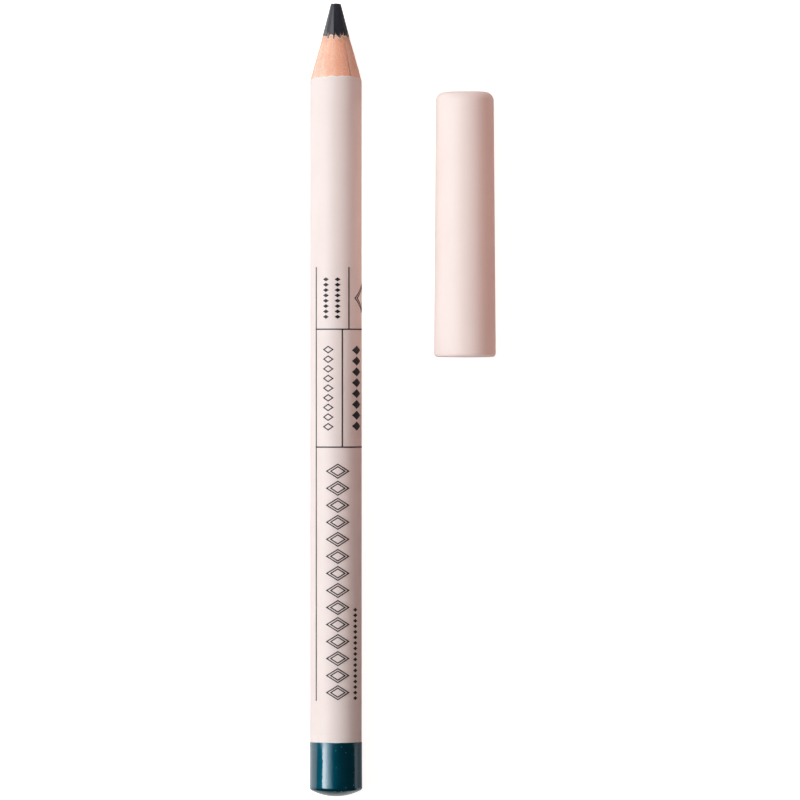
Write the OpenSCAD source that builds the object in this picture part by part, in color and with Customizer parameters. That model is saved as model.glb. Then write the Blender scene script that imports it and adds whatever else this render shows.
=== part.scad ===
// A round wooden eyeliner pencil, sharpened, with its push-on cap taken off
// and lying beside it. Z is up, the point is towards +Y, and Z = 0 is the
// surface that the pencil and the cap lie on. Lengths are in millimetres.
//
// The pencil is built as the real one is made: a pigment core between two
// grooved slats of wood, turned round and lacquered, its butt end rounded and
// dipped in colour, its panel printed, and its point cut by a sharpener. One
// finished outline, blank_outline(), cuts all of those layers.

/* [Barrel] */
// Diameter over the lacquer, which an 8 mm sharpener hole takes
barrel_d = 8; // [6.6:0.1:9.6]
// Length from the crown of the dipped end to the flat of the point
pencil_l = 122.7; // [105:0.1:150]
// Thickness of the lacquer coat
lacquer_t = 0.1; // [0.06:0.01:0.2]
// Radius of the dome that the butt end is rounded to
dome_r = 8.2; // [6:0.1:12]
// Rounding between that dome and the side
dome_edge_r = 0.45; // [0.3:0.05:0.8]

/* [Core] */
// Mean diameter of the pigment core
core_d = 4.1; // [3:0.1:4.8]
// How far the groove's torn wood makes the core swell and shrink
core_rough = 0.11; // [0.04:0.01:0.16]
// Ridges round the core, which show as teeth at its collar
core_teeth = 15; // [9:1:21]
// Turn of the glue line between the slats, from straight up
seam_turn = 38; // [0:1:80]

/* [Point] */
// Length of bare core in front of the wood
core_bare_l = 5.2; // [3.5:0.1:7]
// Length of bare wood between the core and the lacquer
wood_bare_l = 6.85; // [4.5:0.05:9]
// Width of the flat at the very tip
tip_flat_d = 1.45; // [0.6:0.05:1.9]
// Bevel round that flat
tip_bevel = 0.08; // [0.03:0.01:0.15]

/* [Dipped end] */
// Length of the coloured end
dip_l = 8.3; // [5:0.1:12]
// Thickness of the dip at its upper edge
dip_edge_t = 0.05; // [0.03:0.01:0.08]
// Thickness of the dip where the dome begins
dip_side_t = 0.08; // [0.05:0.01:0.12]
// Thickness of the dip at the crown of the dome
dip_end_t = 0.2; // [0.12:0.01:0.3]

/* [Cap] */
// Wall at the mouth
cap_wall = 0.7; // [0.6:0.05:1]
// Lean of the cap's side, which lets it leave its mould
cap_draft = 0.45; // [0.2:0.05:0.6]
// Clearance between the barrel and the bore, on the radius
cap_clearance = 0.1; // [0.06:0.01:0.2]
// Depth of the bore that the barrel slides into
cap_bore_l = 24; // [18:0.5:26]
// Width of the shoulder that stops the barrel
cap_shoulder_w = 0.5; // [0.4:0.05:0.8]
// Room left in front of the point when the cap is on
cap_tip_room = 4.95; // [3:0.05:8]
// Lean of the wall round that room
cap_chamber_draft = 0.8; // [0.3:0.1:1.2]
// Rounding inside the closed end
cap_chamber_round = 0.8; // [0.4:0.1:1.2]
// Thickness of the closed end
cap_end_t = 1.1; // [0.8:0.1:1.6]
// Rounding of the closed end
cap_end_r = 1.4; // [0.8:0.1:2]
// Rounding outside the mouth
cap_lip_r = 0.6; // [0.3:0.05:0.65]
// Bevel inside the mouth
cap_mouth_bevel = 0.06; // [0.04:0.01:0.1]
// Ribs in the bore that grip the barrel
cap_ribs = 6; // [3:1:8]
// Turn of the first rib from the cap's side
cap_rib_turn = 7.5; // [0:0.5:60]
// Width of a rib
cap_rib_w = 0.5; // [0.3:0.05:0.8]
// How far a rib's crest bites into the barrel's size
cap_rib_bite = 0.02; // [0:0.01:0.04]
// Distance from the mouth to where the ribs begin
cap_rib_start = 3; // [2:0.5:5]
// Length over which a rib rises to its full height
cap_rib_lead = 1.5; // [1:0.25:3]

/* [Print] */
// Thickness of the printed ink
ink_t = 0.03; // [0.02:0.01:0.06]
// Width of the printed rules
rule_w = 0.2; // [0.15:0.01:0.3]
// Bare lacquer between the dipped end and the print
print_gap = 6.55; // [4:0.05:9]
// Length of the long panel
long_panel_l = 39.2; // [34:0.1:44]
// Length of the middle panel
middle_panel_l = 18.2; // [15:0.1:21]
// Length of the open panel nearest the point
open_panel_l = 9.6; // [8:0.1:11]
// Place round the barrel of the rule along the left, from straight up
left_rule_turn = -47.6; // [-55:0.1:-40]
// Place of the rule that divides the middle panel
middle_rule_turn = 14.3; // [10:0.1:18]
// Place of the rule that divides the open panel
open_rule_turn = 31.2; // [27:0.1:34]
// Place where the rules across the barrel end
last_rule_turn = 130; // [118:1:140]

/* [Ornament] */
// Stroke of the outlined lozenges
stroke_w = 0.17; // [0.12:0.01:0.2]
// Gap between an outer lozenge and the one nested inside it
stroke_gap = 0.15; // [0.1:0.01:0.2]
// Gap between neighbours in a row
motif_gap = 0.2; // [0.1:0.01:0.4]
// Width of the nested lozenges in the long panel
nested_w = 3.7; // [2.8:0.1:4]
// Length of those lozenges
nested_l = 2.35; // [1.8:0.05:3]
// Place of their row round the barrel
nested_turn = 4.8; // [-10:0.1:8]
// Width of the outlined lozenges in the middle panel
outlined_w = 1.75; // [1.2:0.05:2.2]
// Length of those lozenges
outlined_l = 1.2; // [1:0.05:1.6]
// Width of the solid lozenges beside them
solid_w = 2.1; // [1.4:0.1:2.6]
// Length of those lozenges
solid_l = 1.4; // [1:0.05:1.8]
// Place of their row round the barrel
solid_turn = 54; // [45:1:70]
// Width of the fine lozenges
fine_w = 0.95; // [0.7:0.05:1.3]
// Length of the fine lozenges
fine_l = 0.62; // [0.5:0.02:0.9]
// Place of the fine row in the long panel
fine_turn = 49; // [45:1:70]
// Length of that row
fine_row_l = 14.5; // [10:0.5:30]
// Width and length of the single mark in the open panel
mark_w = 4.6; // [3:0.1:5]
// Place of the mark round the barrel
mark_turn = 81; // [78:1:110]
// Bare lacquer between a rule across the barrel and the nearest motif
panel_margin = 2.4; // [1.5:0.1:4]
// The same at the ends of the open panel
open_margin = 1.5; // [0.8:0.1:2.5]

/* [Layout] */
// Distance from the pencil's axis to the cap's
cap_beside = 19.95; // [14:0.05:30]
// Distance from the crown of the dipped end to the cap's mouth
cap_along = 67.8; // [40:0.1:80]

/* [Hidden] */
$fn = 96;

barrel_r = barrel_d / 2;
wood_r = barrel_r - lacquer_t;
core_r = core_d / 2;
dip_r = barrel_r + dip_side_t;

point_l = core_bare_l + wood_bare_l;
collar_z = pencil_l - core_bare_l;
shoulder_z = pencil_l - point_l;

// A cut passes through a solid by this much, so that no face is shared.
pass = 1;
// An arc that rounds a corner stands proud of both sides by this much, so
// that it crosses them cleanly.
hair = 0.001;
// The core's ridges lean and vary by the same draw each time.
core_seed = 7;
core_first_turn = -31;
tooth_turn = 360 / core_teeth;

cap_bore_r = barrel_r + cap_clearance;
cap_mouth_r = cap_bore_r + cap_wall;
cap_chamber_r = cap_bore_r - cap_shoulder_w;
// The shoulder slopes at 45 degrees, and its inner corner stops the point's
// cone. What the cone holds in front of that corner sets the cap's length.
cap_stop_z = cap_bore_l + cap_shoulder_w;
cone_run = wood_bare_l / (barrel_r - core_r);
point_past_stop = point_l - (barrel_r - cap_chamber_r) * cone_run;
cap_roof_z = cap_stop_z + point_past_stop + cap_tip_room;
cap_l = cap_roof_z + cap_end_t;
cap_rib_crest = barrel_r - cap_rib_bite;
cap_rib_sink = 0.03;
// The rounding outside the mouth leaves at least this much of its rim flat.
cap_rim_flat = 0.04;
cap_lip = min(cap_lip_r, cap_wall - cap_mouth_bevel - cap_rim_flat);

print_z = dip_l + print_gap;
middle_z = print_z + long_panel_l;
open_z = middle_z + middle_panel_l;
print_end_z = open_z + open_panel_l;
dip_edge_round = 0.02;

// The origin is in the middle of the footprint, on the surface below.
reach_x = cap_beside + cap_mouth_r;
pencil_x = (dip_r - reach_x) / 2;
cap_x = pencil_x + cap_beside;
reach_y = max(pencil_l, cap_along + cap_l);
pencil_y = -reach_y / 2;
cap_y = pencil_y + cap_along;

// Takes a corner off an outline: what lies beyond an arc about c, between
// the directions u and v in which the arc meets the corner's two sides.
module corner_cut(c, r, u, v) {
    centre = c + hair * (u + v);
    reach = r + pass;
    difference() {
        polygon([
            centre, centre + reach * u, centre + reach * (u + v), centre + reach * v
        ]);
        translate(centre) circle(r = r);
    }
}

// Half of a rod with a domed end, in the XY plane with the axis along Y.
module domed_outline(r, dome, edge, len) {
    rim = r - edge;
    lean = asin(rim / (dome - edge));
    difference() {
        intersection() {
            translate([0, -pass]) square([r, len + pass]);
            translate([0, dome])
                union() {
                    circle(r = dome);
                    square([r, len]);
                }
        }
        corner_cut([rim, dome - (dome - edge) * cos(lean)], edge, [1, 0], [sin(lean), -cos(lean)]);
    }
}

// Half outline of the finished pencil under its dip: dome, side and point.
module blank_outline() {
    end_edge = dome_edge_r - dip_side_t;
    bevel_run = tip_bevel / 2;
    intersection() {
        translate([0, dip_end_t])
            domed_outline(barrel_r, dome_r - dip_end_t, end_edge, pencil_l);
        polygon([
            [0, 0], [barrel_r + pass, 0],
            [barrel_r + pass, shoulder_z - pass * cone_run],
            [core_r, collar_z],
            [tip_flat_d / 2 + bevel_run / 2, pencil_l - tip_bevel],
            [tip_flat_d / 2 - bevel_run, pencil_l],
            [0, pencil_l]
        ]);
    }
}

module blank() {
    rotate_extrude() blank_outline();
}

// The core's section: ridges of uneven height where the groove tore.
module core_section() {
    rise = rands(0.45, 1, core_teeth, core_seed);
    fall = rands(0.35, 1, core_teeth, core_seed + 1);
    polygon([
        for (i = [0 : core_teeth - 1], half = [0, 1])
            let (
                turn = core_first_turn + tooth_turn * (i + half / 2) - 90,
                r = half == 0 ? core_r + core_rough * rise[i]
                              : core_r - core_rough * fall[i]
            )
            [r * cos(turn), r * sin(turn)]
    ]);
}

module core_rod() {
    translate([0, 0, -pass])
        linear_extrude(pencil_l + 2 * pass) core_section();
}

module pigment_core() {
    color("#33343b")
        intersection() {
            blank();
            core_rod();
        }
}

// Half of the space round the pencil, on one side of the glue line.
module half_space(side) {
    half_w = barrel_d;
    rotate([0, 0, seam_turn])
        translate([side < 0 ? -half_w : 0, -half_w, -pass])
            cube([half_w, 2 * half_w, pencil_l + 2 * pass]);
}

module slat(side) {
    intersection() {
        blank();
        difference() {
            translate([0, 0, -pass]) cylinder(r = wood_r, h = pencil_l + 2 * pass);
            core_rod();
        }
        half_space(side);
    }
}

module left_slat() {
    color("#f0bd98") slat(-1);
}

module right_slat() {
    color("#d79f80") slat(1);
}

module lacquer_coat() {
    color("#f3e2de")
        difference() {
            blank();
            translate([0, 0, -pass]) cylinder(r = wood_r, h = pencil_l + 2 * pass);
        }
}

// The dip is thickest at the dome, where it drained, and thins to its edge.
module dip_outline() {
    intersection() {
        domed_outline(dip_r, dome_r, dome_edge_r, dip_l);
        polygon([
            [0, -pass],
            [dip_r, -pass],
            [dip_r, 0],
            [barrel_r + dip_edge_t, dip_l - dip_edge_round],
            [barrel_r + dip_edge_t - dip_edge_round, dip_l],
            [0, dip_l]
        ]);
    }
}

module end_dip() {
    color("#00505c")
        difference() {
            rotate_extrude() dip_outline();
            blank();
        }
}

// The film that all the print is cut from, between two heights.
module ink_film(low, high) {
    translate([0, 0, low])
        difference() {
            cylinder(r = barrel_r + ink_t, h = high - low);
            translate([0, 0, -pass]) cylinder(r = barrel_r, h = high - low + 2 * pass);
        }
}

module rule_along(turn, low, high) {
    reach = barrel_r + pass;
    rotate([0, 0, turn])
        translate([-rule_w / 2, -reach, low]) cube([rule_w, reach, high - low]);
}

module rule_across(z) {
    reach = barrel_r + 2 * pass;
    rotate([0, 0, left_rule_turn - 90])
        rotate_extrude(angle = last_rule_turn - left_rule_turn)
            translate([0, z - rule_w / 2]) square([reach, rule_w]);
}

module printed_rules() {
    color("#2b2424")
        intersection() {
            ink_film(dip_l, shoulder_z);
            union() {
                rule_along(left_rule_turn, print_z, print_end_z);
                rule_along(middle_rule_turn, middle_z, open_z);
                rule_along(open_rule_turn, open_z, print_end_z);
                rule_across(middle_z);
                rule_across(open_z);
            }
        }
}

// How a lozenge of w by l scales when its sides move in by a distance.
function inset(w, l, by) = 1 - 2 * by * norm([w, l]) / (w * l);

module lozenge(w, l, size = 1) {
    x = size * w / 2;
    y = size * l / 2;
    polygon([[0, -y], [x, 0], [0, y], [-x, 0]]);
}

// An outlined lozenge whose outer edge lies a distance inside w by l.
module lozenge_outline(w, l, by = 0) {
    difference() {
        lozenge(w, l, inset(w, l, by));
        lozenge(w, l, inset(w, l, by + stroke_w));
    }
}

module nested_lozenge(w, l) {
    lozenge_outline(w, l);
    lozenge_outline(w, l, stroke_w + stroke_gap);
}

// Lays a flat motif on the barrel, facing out at a turn and centred at z.
module on_barrel(turn, z, l) {
    intersection() {
        ink_film(z - l, z + l);
        translate([0, 0, z])
            rotate([90, 0, turn]) linear_extrude(barrel_r + pass) children();
    }
}

// A row of motifs of length l, spread evenly between two heights.
module motif_row(turn, low, high, l) {
    count = floor((high - low) / (l + motif_gap));
    pitch = (high - low) / count;
    for (i = [0 : count - 1])
        on_barrel(turn, low + pitch * (i + 1 / 2), l) children();
}

module long_panel_motifs() {
    motif_row(nested_turn, print_z, middle_z - panel_margin, nested_l)
        nested_lozenge(nested_w, nested_l);
    motif_row(fine_turn, print_z, print_z + fine_row_l, fine_l)
        lozenge(fine_w, fine_l);
}

module middle_panel_motifs() {
    outlined_turn = (left_rule_turn + middle_rule_turn) / 2;
    low = middle_z + panel_margin;
    high = open_z - panel_margin;
    motif_row(outlined_turn, low, high, outlined_l)
        lozenge_outline(outlined_w, outlined_l);
    motif_row(solid_turn, low, high, solid_l)
        lozenge(solid_w, solid_l);
}

module open_panel_motifs() {
    column_step = (open_rule_turn - left_rule_turn) / 3;
    low = open_z + open_margin;
    high = print_end_z - open_margin;
    for (i = [1, 2])
        motif_row(left_rule_turn + i * column_step, low, high, fine_l)
            lozenge(fine_w, fine_l);
    on_barrel(mark_turn, (open_z + print_end_z) / 2, mark_w)
        nested_lozenge(mark_w, mark_w);
}

module printed_lozenges() {
    color("#2b2424") {
        long_panel_motifs();
        middle_panel_motifs();
        open_panel_motifs();
    }
}

// Centre of an arc that touches a leaning side, at a height.
function arc_centre(foot_r, foot_z, z, r, lean) =
    [foot_r - (z - foot_z) * tan(lean) - r, z];

module cap_outer_outline() {
    end_r = cap_mouth_r - cap_l * tan(cap_draft);
    end_c = arc_centre(cap_mouth_r, 0, cap_l - cap_end_r, cap_end_r, cap_draft);
    lip_c = arc_centre(cap_mouth_r, 0, cap_lip, cap_lip, cap_draft);
    difference() {
        polygon([[0, 0], [cap_mouth_r, 0], [end_r, cap_l], [0, cap_l]]);
        corner_cut(end_c, cap_end_r, [1, 0], [0, 1]);
        corner_cut(lip_c, cap_lip, [1, 0], [0, -1]);
    }
}

// The hollow: a bore for the barrel, the shoulder that stops the point, and
// a chamber in which the point stands clear.
module cap_hollow_outline() {
    roof_r = cap_chamber_r - (cap_roof_z - cap_stop_z) * tan(cap_chamber_draft);
    round_z = cap_roof_z - cap_chamber_round;
    round_c = arc_centre(
        cap_chamber_r, cap_stop_z, round_z, cap_chamber_round, cap_chamber_draft
    );
    difference() {
        polygon([
            [0, -pass],
            [cap_bore_r + cap_mouth_bevel + pass, -pass],
            [cap_bore_r, cap_mouth_bevel],
            [cap_bore_r, cap_bore_l],
            [cap_chamber_r, cap_stop_z],
            [roof_r, cap_roof_z],
            [0, cap_roof_z]
        ]);
        corner_cut(round_c, cap_chamber_round, [1, 0], [0, 1]);
    }
}

// One rib, with its foot sunk in the wall and its end sunk in the shoulder.
module cap_rib() {
    foot = cap_bore_r + cap_rib_sink;
    lead_run = cap_rib_lead / (cap_bore_r - cap_rib_crest);
    rotate([90, 0, 0])
        linear_extrude(cap_rib_w, center = true)
            polygon([
                [foot, cap_rib_start - cap_rib_sink * lead_run],
                [cap_rib_crest, cap_rib_start + cap_rib_lead],
                [cap_rib_crest, cap_stop_z],
                [foot, cap_stop_z]
            ]);
}

module cap() {
    color("#f5dcd7") {
        rotate_extrude()
            difference() {
                cap_outer_outline();
                cap_hollow_outline();
            }
        for (i = [0 : cap_ribs - 1])
            rotate([0, 0, cap_rib_turn + i * 360 / cap_ribs]) cap_rib();
    }
}

// Lays the upright pencil down with its point towards +Y.
module lay_pencil() {
    translate([pencil_x, pencil_y, dip_r])
        rotate([-90, 0, 0]) children();
}

// Lays the cap down on its side, which leans by its draft.
module lay_cap() {
    translate([cap_x, cap_y, cap_mouth_r * cos(cap_draft)])
        rotate([-90 - cap_draft, 0, 0]) children();
}

lay_pencil() pigment_core();
lay_pencil() left_slat();
lay_pencil() right_slat();
lay_pencil() lacquer_coat();
lay_pencil() end_dip();
lay_pencil() printed_rules();
lay_pencil() printed_lozenges();
lay_cap() cap();
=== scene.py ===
# %% [markdown]
# # A sharpened eyeliner pencil with its cap beside it
# The pencil is a rod of soft pigment between two glued slats of cedar. It is
# lacquered in pale blush, dipped in glossy teal at its butt end and printed in
# black, and a sharpener has cut its point. Its moulded cap lies beside it.
#
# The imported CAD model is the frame: it fixes every size and place. The pieces
# below take the place of its nodes with finer meshes and real finishes.

import math

import bmesh
import bpy
import numpy as np
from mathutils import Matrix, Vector


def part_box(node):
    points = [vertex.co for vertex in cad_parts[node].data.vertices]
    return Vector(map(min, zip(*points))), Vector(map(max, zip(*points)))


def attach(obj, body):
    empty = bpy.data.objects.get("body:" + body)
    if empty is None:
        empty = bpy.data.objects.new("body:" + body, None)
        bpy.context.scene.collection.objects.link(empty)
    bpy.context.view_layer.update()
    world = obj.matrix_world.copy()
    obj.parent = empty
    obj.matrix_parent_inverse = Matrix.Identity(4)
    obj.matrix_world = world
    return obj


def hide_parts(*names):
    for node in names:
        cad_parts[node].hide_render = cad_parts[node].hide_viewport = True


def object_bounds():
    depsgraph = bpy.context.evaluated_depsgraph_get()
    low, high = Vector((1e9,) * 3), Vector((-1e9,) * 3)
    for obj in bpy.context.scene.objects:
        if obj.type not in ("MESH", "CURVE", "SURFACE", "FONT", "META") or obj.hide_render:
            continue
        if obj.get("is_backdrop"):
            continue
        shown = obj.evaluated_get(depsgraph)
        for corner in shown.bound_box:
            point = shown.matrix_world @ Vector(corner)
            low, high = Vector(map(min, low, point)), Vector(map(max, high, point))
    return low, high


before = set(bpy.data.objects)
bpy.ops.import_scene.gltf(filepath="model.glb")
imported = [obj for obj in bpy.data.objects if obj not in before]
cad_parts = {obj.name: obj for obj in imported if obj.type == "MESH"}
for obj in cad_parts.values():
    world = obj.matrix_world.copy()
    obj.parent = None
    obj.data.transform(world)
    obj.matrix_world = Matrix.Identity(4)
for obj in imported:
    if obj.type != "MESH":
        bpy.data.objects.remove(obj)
cad_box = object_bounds()
print("CAD nodes:", ", ".join(sorted(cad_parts)))

# %% [markdown]
# ## Sizes and places
# A pencil is easiest to describe as a turner sees it: how far from the axis,
# at which turn round it, and at which height above the butt end. Lengths are
# in millimetres, as in the part's source, and one helper carries them into
# the frame's metres. The box of the dipped end says where the axis lies.

# %% Sizes of the pencil
MM = 0.001
BARREL_R = 4.0
CORE_R = 2.05
PENCIL_L = 122.7
COLLAR_Z = 117.5
SHOULDER_Z = 110.65
CONE_RUN = (COLLAR_Z - SHOULDER_Z) / (BARREL_R - CORE_R)
SEAM_TURN = 38
ROUND = 360

crown_low, crown_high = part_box("end_dip")
AXIS_X = (crown_low.x + crown_high.x) / 2 / MM
AXIS_Z = (crown_low.z + crown_high.z) / 2 / MM
BUTT_Y = crown_low.y / MM
turns = np.radians(SEAM_TURN + np.arange(ROUND) * 360 / ROUND)
print(f"the pencil's axis lies at x {AXIS_X:.3f}, z {AXIS_Z:.3f} mm")


def on_pencil(radius, turn, height):
    """Points of the frame, in metres, from a radius, a turn from straight up and a height."""
    radius, turn, height = np.broadcast_arrays(radius, turn, height)
    x, z = AXIS_X + radius * np.sin(turn), AXIS_Z + radius * np.cos(turn)
    return MM * np.stack([x, BUTT_Y + height, z], axis=-1)


def cone_height(radius):
    return SHOULDER_Z + (BARREL_R - radius) * CONE_RUN


# %% [markdown]
# ## The camera
# The photograph looks straight at the pencil from far away, with almost no
# perspective. The pencil can't stand by itself, so here it lies on the floor
# and the camera looks straight down on it. A long lens far away keeps the
# rings round the barrel as straight as they are in the photograph.

# %% Camera
FRAME_WIDTH = 123.8
CAMERA_PLACE = (-0.406, -0.027, 1370)
SENSOR = 36


def show(name, data):
    """An object for a mesh, a lamp or a camera, in the scene."""
    thing = bpy.data.objects.new(name, data)
    bpy.context.scene.collection.objects.link(thing)
    return thing


camera_data = bpy.data.cameras.new("camera")
camera_data.sensor_width = SENSOR
camera_data.lens = SENSOR * (CAMERA_PLACE[2] - AXIS_Z) / FRAME_WIDTH
camera_data.clip_start = 0.01
camera = show("camera", camera_data)
camera.location = [MM * c for c in CAMERA_PLACE]
bpy.context.scene.camera = camera
print(f"lens {camera_data.lens:.0f} mm")

# %% [markdown]
# ## Helpers for meshes
# Most pieces here are grids of points: one row follows another along the
# piece, and the columns go round it. The grid's ends are closed by bringing a
# row to one point, and welding then turns its squares into a fan. A closed
# skin can be told which way is out, so the normals are worked out last.

# %% Grids of points become closed skins
WELD = 1e-7


def grid_faces(rows, columns, rows_close=False, columns_close=True):
    """Squares between neighbouring rows and columns, as indices into rows * columns points."""
    row = np.arange(rows if rows_close else rows - 1)
    column = np.arange(columns if columns_close else columns - 1)
    a, b = np.meshgrid(row, column, indexing="ij")
    a_next, b_next = (a + 1) % rows, (b + 1) % columns
    corners = [a * columns + b, a_next * columns + b]
    corners += [a_next * columns + b_next, a * columns + b_next]
    return np.stack(corners, axis=-1).reshape(-1, 4).tolist()


def new_mesh(name, points, faces=(), marks=()):
    """A mesh from points and faces, with named values at the points."""
    mesh = bpy.data.meshes.new(name)
    mesh.from_pydata(np.reshape(points, (-1, 3)).tolist(), [], faces)
    for label, values in dict(marks).items():
        layer = mesh.attributes.new(label, "FLOAT", "POINT")
        layer.data.foreach_set("value", np.asarray(values, np.float32).ravel())
    return mesh


def turned_mesh(name, rows, marks=(), rows_close=False):
    """A mesh turned on the pencil's axis, from rows of a radius and a height."""
    points = [on_pencil(radius, turns, height) for radius, height in rows]
    return new_mesh(name, points, grid_faces(len(rows), ROUND, rows_close), marks)


def make_piece(name, finish, *meshes, sharp=40):
    """Welds meshes into one skin that faces outwards and is smooth up to a sharp angle."""
    shape = bmesh.new()
    for mesh in meshes:
        shape.from_mesh(mesh)
        bpy.data.meshes.remove(mesh)
    bmesh.ops.remove_doubles(shape, verts=shape.verts, dist=WELD)
    bmesh.ops.recalc_face_normals(shape, faces=shape.faces)
    open_edges = sum(1 for edge in shape.edges if not edge.is_manifold)
    whole = bpy.data.meshes.new(name)
    shape.to_mesh(whole)
    shape.free()
    whole.materials.append(finish)
    for label, value in (("use_smooth", True), ("material_index", 0)):
        whole.polygons.foreach_set(label, [value] * len(whole.polygons))
    whole.set_sharp_from_angle(angle=math.radians(sharp))
    print(f"{name}: {len(whole.polygons)} faces, {open_edges} open edges")
    return show(name, whole)


def dress(piece, slot, *nodes):
    """Rides the piece on the pencil's one body in place of its CAD nodes."""
    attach(piece, "root")
    if nodes:
        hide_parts(*nodes)


# %% [markdown]
# Nothing made by hand or machine is perfectly even. A small value noise gives
# each hand-made wobble the same draw on every run. Its pattern closes after
# one turn round the pencil, so no seam shows.

# %% Repeatable unevenness
NOISE_ROWS = 257


def smooth(u):
    """Eases a share from 0 to 1, with no corner at either end."""
    return u * u * (3 - 2 * u)


def wobble(turn, height, cells_round, cell_height, seed):
    """Smooth noise from -1 to 1 that closes round the pencil."""
    table = np.random.default_rng(seed).uniform(-1, 1, (cells_round, NOISE_ROWS))
    u, v = np.asarray(turn) / (2 * np.pi) * cells_round, np.asarray(height) / cell_height
    u, v = np.broadcast_arrays(u, v)
    i, j = np.floor(u).astype(int), np.floor(v).astype(int)
    fu, fv = smooth(u - i), smooth(v - j)
    here, beside = table[i % cells_round], table[(i + 1) % cells_round]

    def at(row):
        row = (row % NOISE_ROWS)[..., None]
        low, high = (np.take_along_axis(cell, row, axis=-1)[..., 0] for cell in (here, beside))
        return low * (1 - fu) + high * fu

    return at(j) * (1 - fv) + at(j + 1) * fv


def through_marks(turn, marks):
    """A smooth curve round the pencil through pairs of a turn in degrees and a value."""
    marks = np.array([*marks, (marks[0][0] + 360, marks[0][1])])
    around = (np.degrees(turn) - marks[0, 0]) % 360 + marks[0, 0]
    i = np.clip(np.searchsorted(marks[:, 0], around, side="right") - 1, 0, len(marks) - 2)
    u = smooth((around - marks[i, 0]) / (marks[i + 1, 0] - marks[i, 0]))
    return marks[i, 1] * (1 - u) + marks[i + 1, 1] * u


# %% [markdown]
# ## Helpers for node trees
# Materials and Geometry Nodes are built by the same few calls: put a node
# down, plug values or other nodes into its inputs, and do sums with it.

# %% Node helpers
FLOAT, INT, VECTOR = "NodeSocketFloat", "NodeSocketInt", "NodeSocketVector"
GEOMETRY, MATERIAL = "NodeSocketGeometry", "NodeSocketMaterial"


def put(tree, kind, inputs=(), **settings):
    """Adds a node. Each input is a value or the output of another node."""
    node = tree.nodes.new(kind)
    for key, value in settings.items():
        setattr(node, key, value)
    for key, value in dict(inputs).items():
        if isinstance(value, bpy.types.NodeSocket):
            tree.links.new(value, node.inputs[key])
        else:
            node.inputs[key].default_value = value
    return node


def take(tree, kind, inputs=(), **settings):
    """Adds a node and gives its first output."""
    return put(tree, kind, inputs, **settings).outputs[0]


def calc(tree, operation, *values):
    """One step of arithmetic with numbers."""
    return take(tree, "ShaderNodeMath", dict(enumerate(values)), operation=operation)


def vec(tree, operation, *vectors, **scale):
    """One step of arithmetic with vectors."""
    inputs = {**dict(enumerate(vectors)), **scale}
    return take(tree, "ShaderNodeVectorMath", inputs, operation=operation)


def xyz(tree, **parts):
    return take(tree, "ShaderNodeCombineXYZ", parts)


def split(tree, vector):
    return put(tree, "ShaderNodeSeparateXYZ", {0: vector}).outputs


def new_group(name, inputs, output, output_type):
    """A node group with one output. An input is its default number, or its type if it has none."""
    kind = "GeometryNodeTree" if output_type == GEOMETRY else "ShaderNodeTree"
    tree = bpy.data.node_groups.new(name, kind)
    for label, value in inputs.items():
        plain = {int: INT, float: FLOAT}.get(type(value))
        socket = tree.interface.new_socket(label, in_out="INPUT", socket_type=plain or value)
        if plain:
            socket.default_value = value
    tree.interface.new_socket(output, in_out="OUTPUT", socket_type=output_type)
    given, out = tree.nodes.new("NodeGroupInput"), tree.nodes.new("NodeGroupOutput")
    return tree, given.outputs, out.inputs[output]


# %% [markdown]
# ## Effects that several finishes share
# - Uneven colour: soft clouds a few millimetres wide. Pale lacquer and
#   moulded plastic have them very faintly.
# - Skin: the height of a sprayed, dipped or moulded surface, which is a long
#   swell with a fine texture on top.
# - Specks: a sparse scatter of tiny dots for dust, grit and splinters.
# - Lengthwise grain: noise stretched along the pencil, for wood fibres and
#   for the strokes that a blade leaves.
# Each is a group that gives out only masks and heights, so the same group
# serves every material with its own values. Their sizes are in metres.

# %% Uneven colour and surface skin
def cells(tree, size):
    """Object coordinates counted in cells of a size."""
    place = put(tree, "ShaderNodeTexCoord").outputs["Object"]
    return vec(tree, "DIVIDE", place, size)


def mask_from(tree, value, low, high):
    """A soft mask that is 0 at the first value and 1 at the second."""
    inputs = {"Value": value, "From Min": low, "From Max": high}
    return take(tree, "ShaderNodeMapRange", inputs, interpolation_type="SMOOTHSTEP")


def noise(tree, place, detail, roughness=0.5):
    inputs = {"Vector": place, "Scale": 1.0, "Detail": detail, "Roughness": roughness}
    return take(tree, "ShaderNodeTexNoise", inputs)


clouds, given, out = new_group("uneven colour", {"Cloud Size": 0.004}, "Mask", FLOAT)
soft_noise = noise(clouds, cells(clouds, given["Cloud Size"]), 3.0)
clouds.links.new(mask_from(clouds, soft_noise, 0.3, 0.7), out)

skin_sizes = {"Swell Size": 0.003, "Texture Size": 0.0003, "Texture Share": 0.2}
skin, given, out = new_group("surface skin", skin_sizes, "Height", FLOAT)
swell = noise(skin, cells(skin, given["Swell Size"]), 1.0)
texture = noise(skin, cells(skin, given["Texture Size"]), 2.0)
skin.links.new(calc(skin, "MULTIPLY_ADD", texture, given["Texture Share"], swell), out)

# %% Specks and lengthwise grain
speck_sizes = {"Spacing": 0.002, "Speck Size": 0.04, "Share": 0.3}
specks, given, out = new_group("specks", speck_sizes, "Mask", FLOAT)
speck_cells = {"Vector": cells(specks, given["Spacing"]), "Scale": 1.0}
cell = put(specks, "ShaderNodeTexVoronoi", speck_cells).outputs
near = calc(specks, "LESS_THAN", cell["Distance"], given["Speck Size"])
drawn = take(specks, "ShaderNodeSeparateColor", {"Color": cell["Color"]})
chosen = calc(specks, "LESS_THAN", drawn, given["Share"])
specks.links.new(calc(specks, "MULTIPLY", near, chosen), out)

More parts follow.
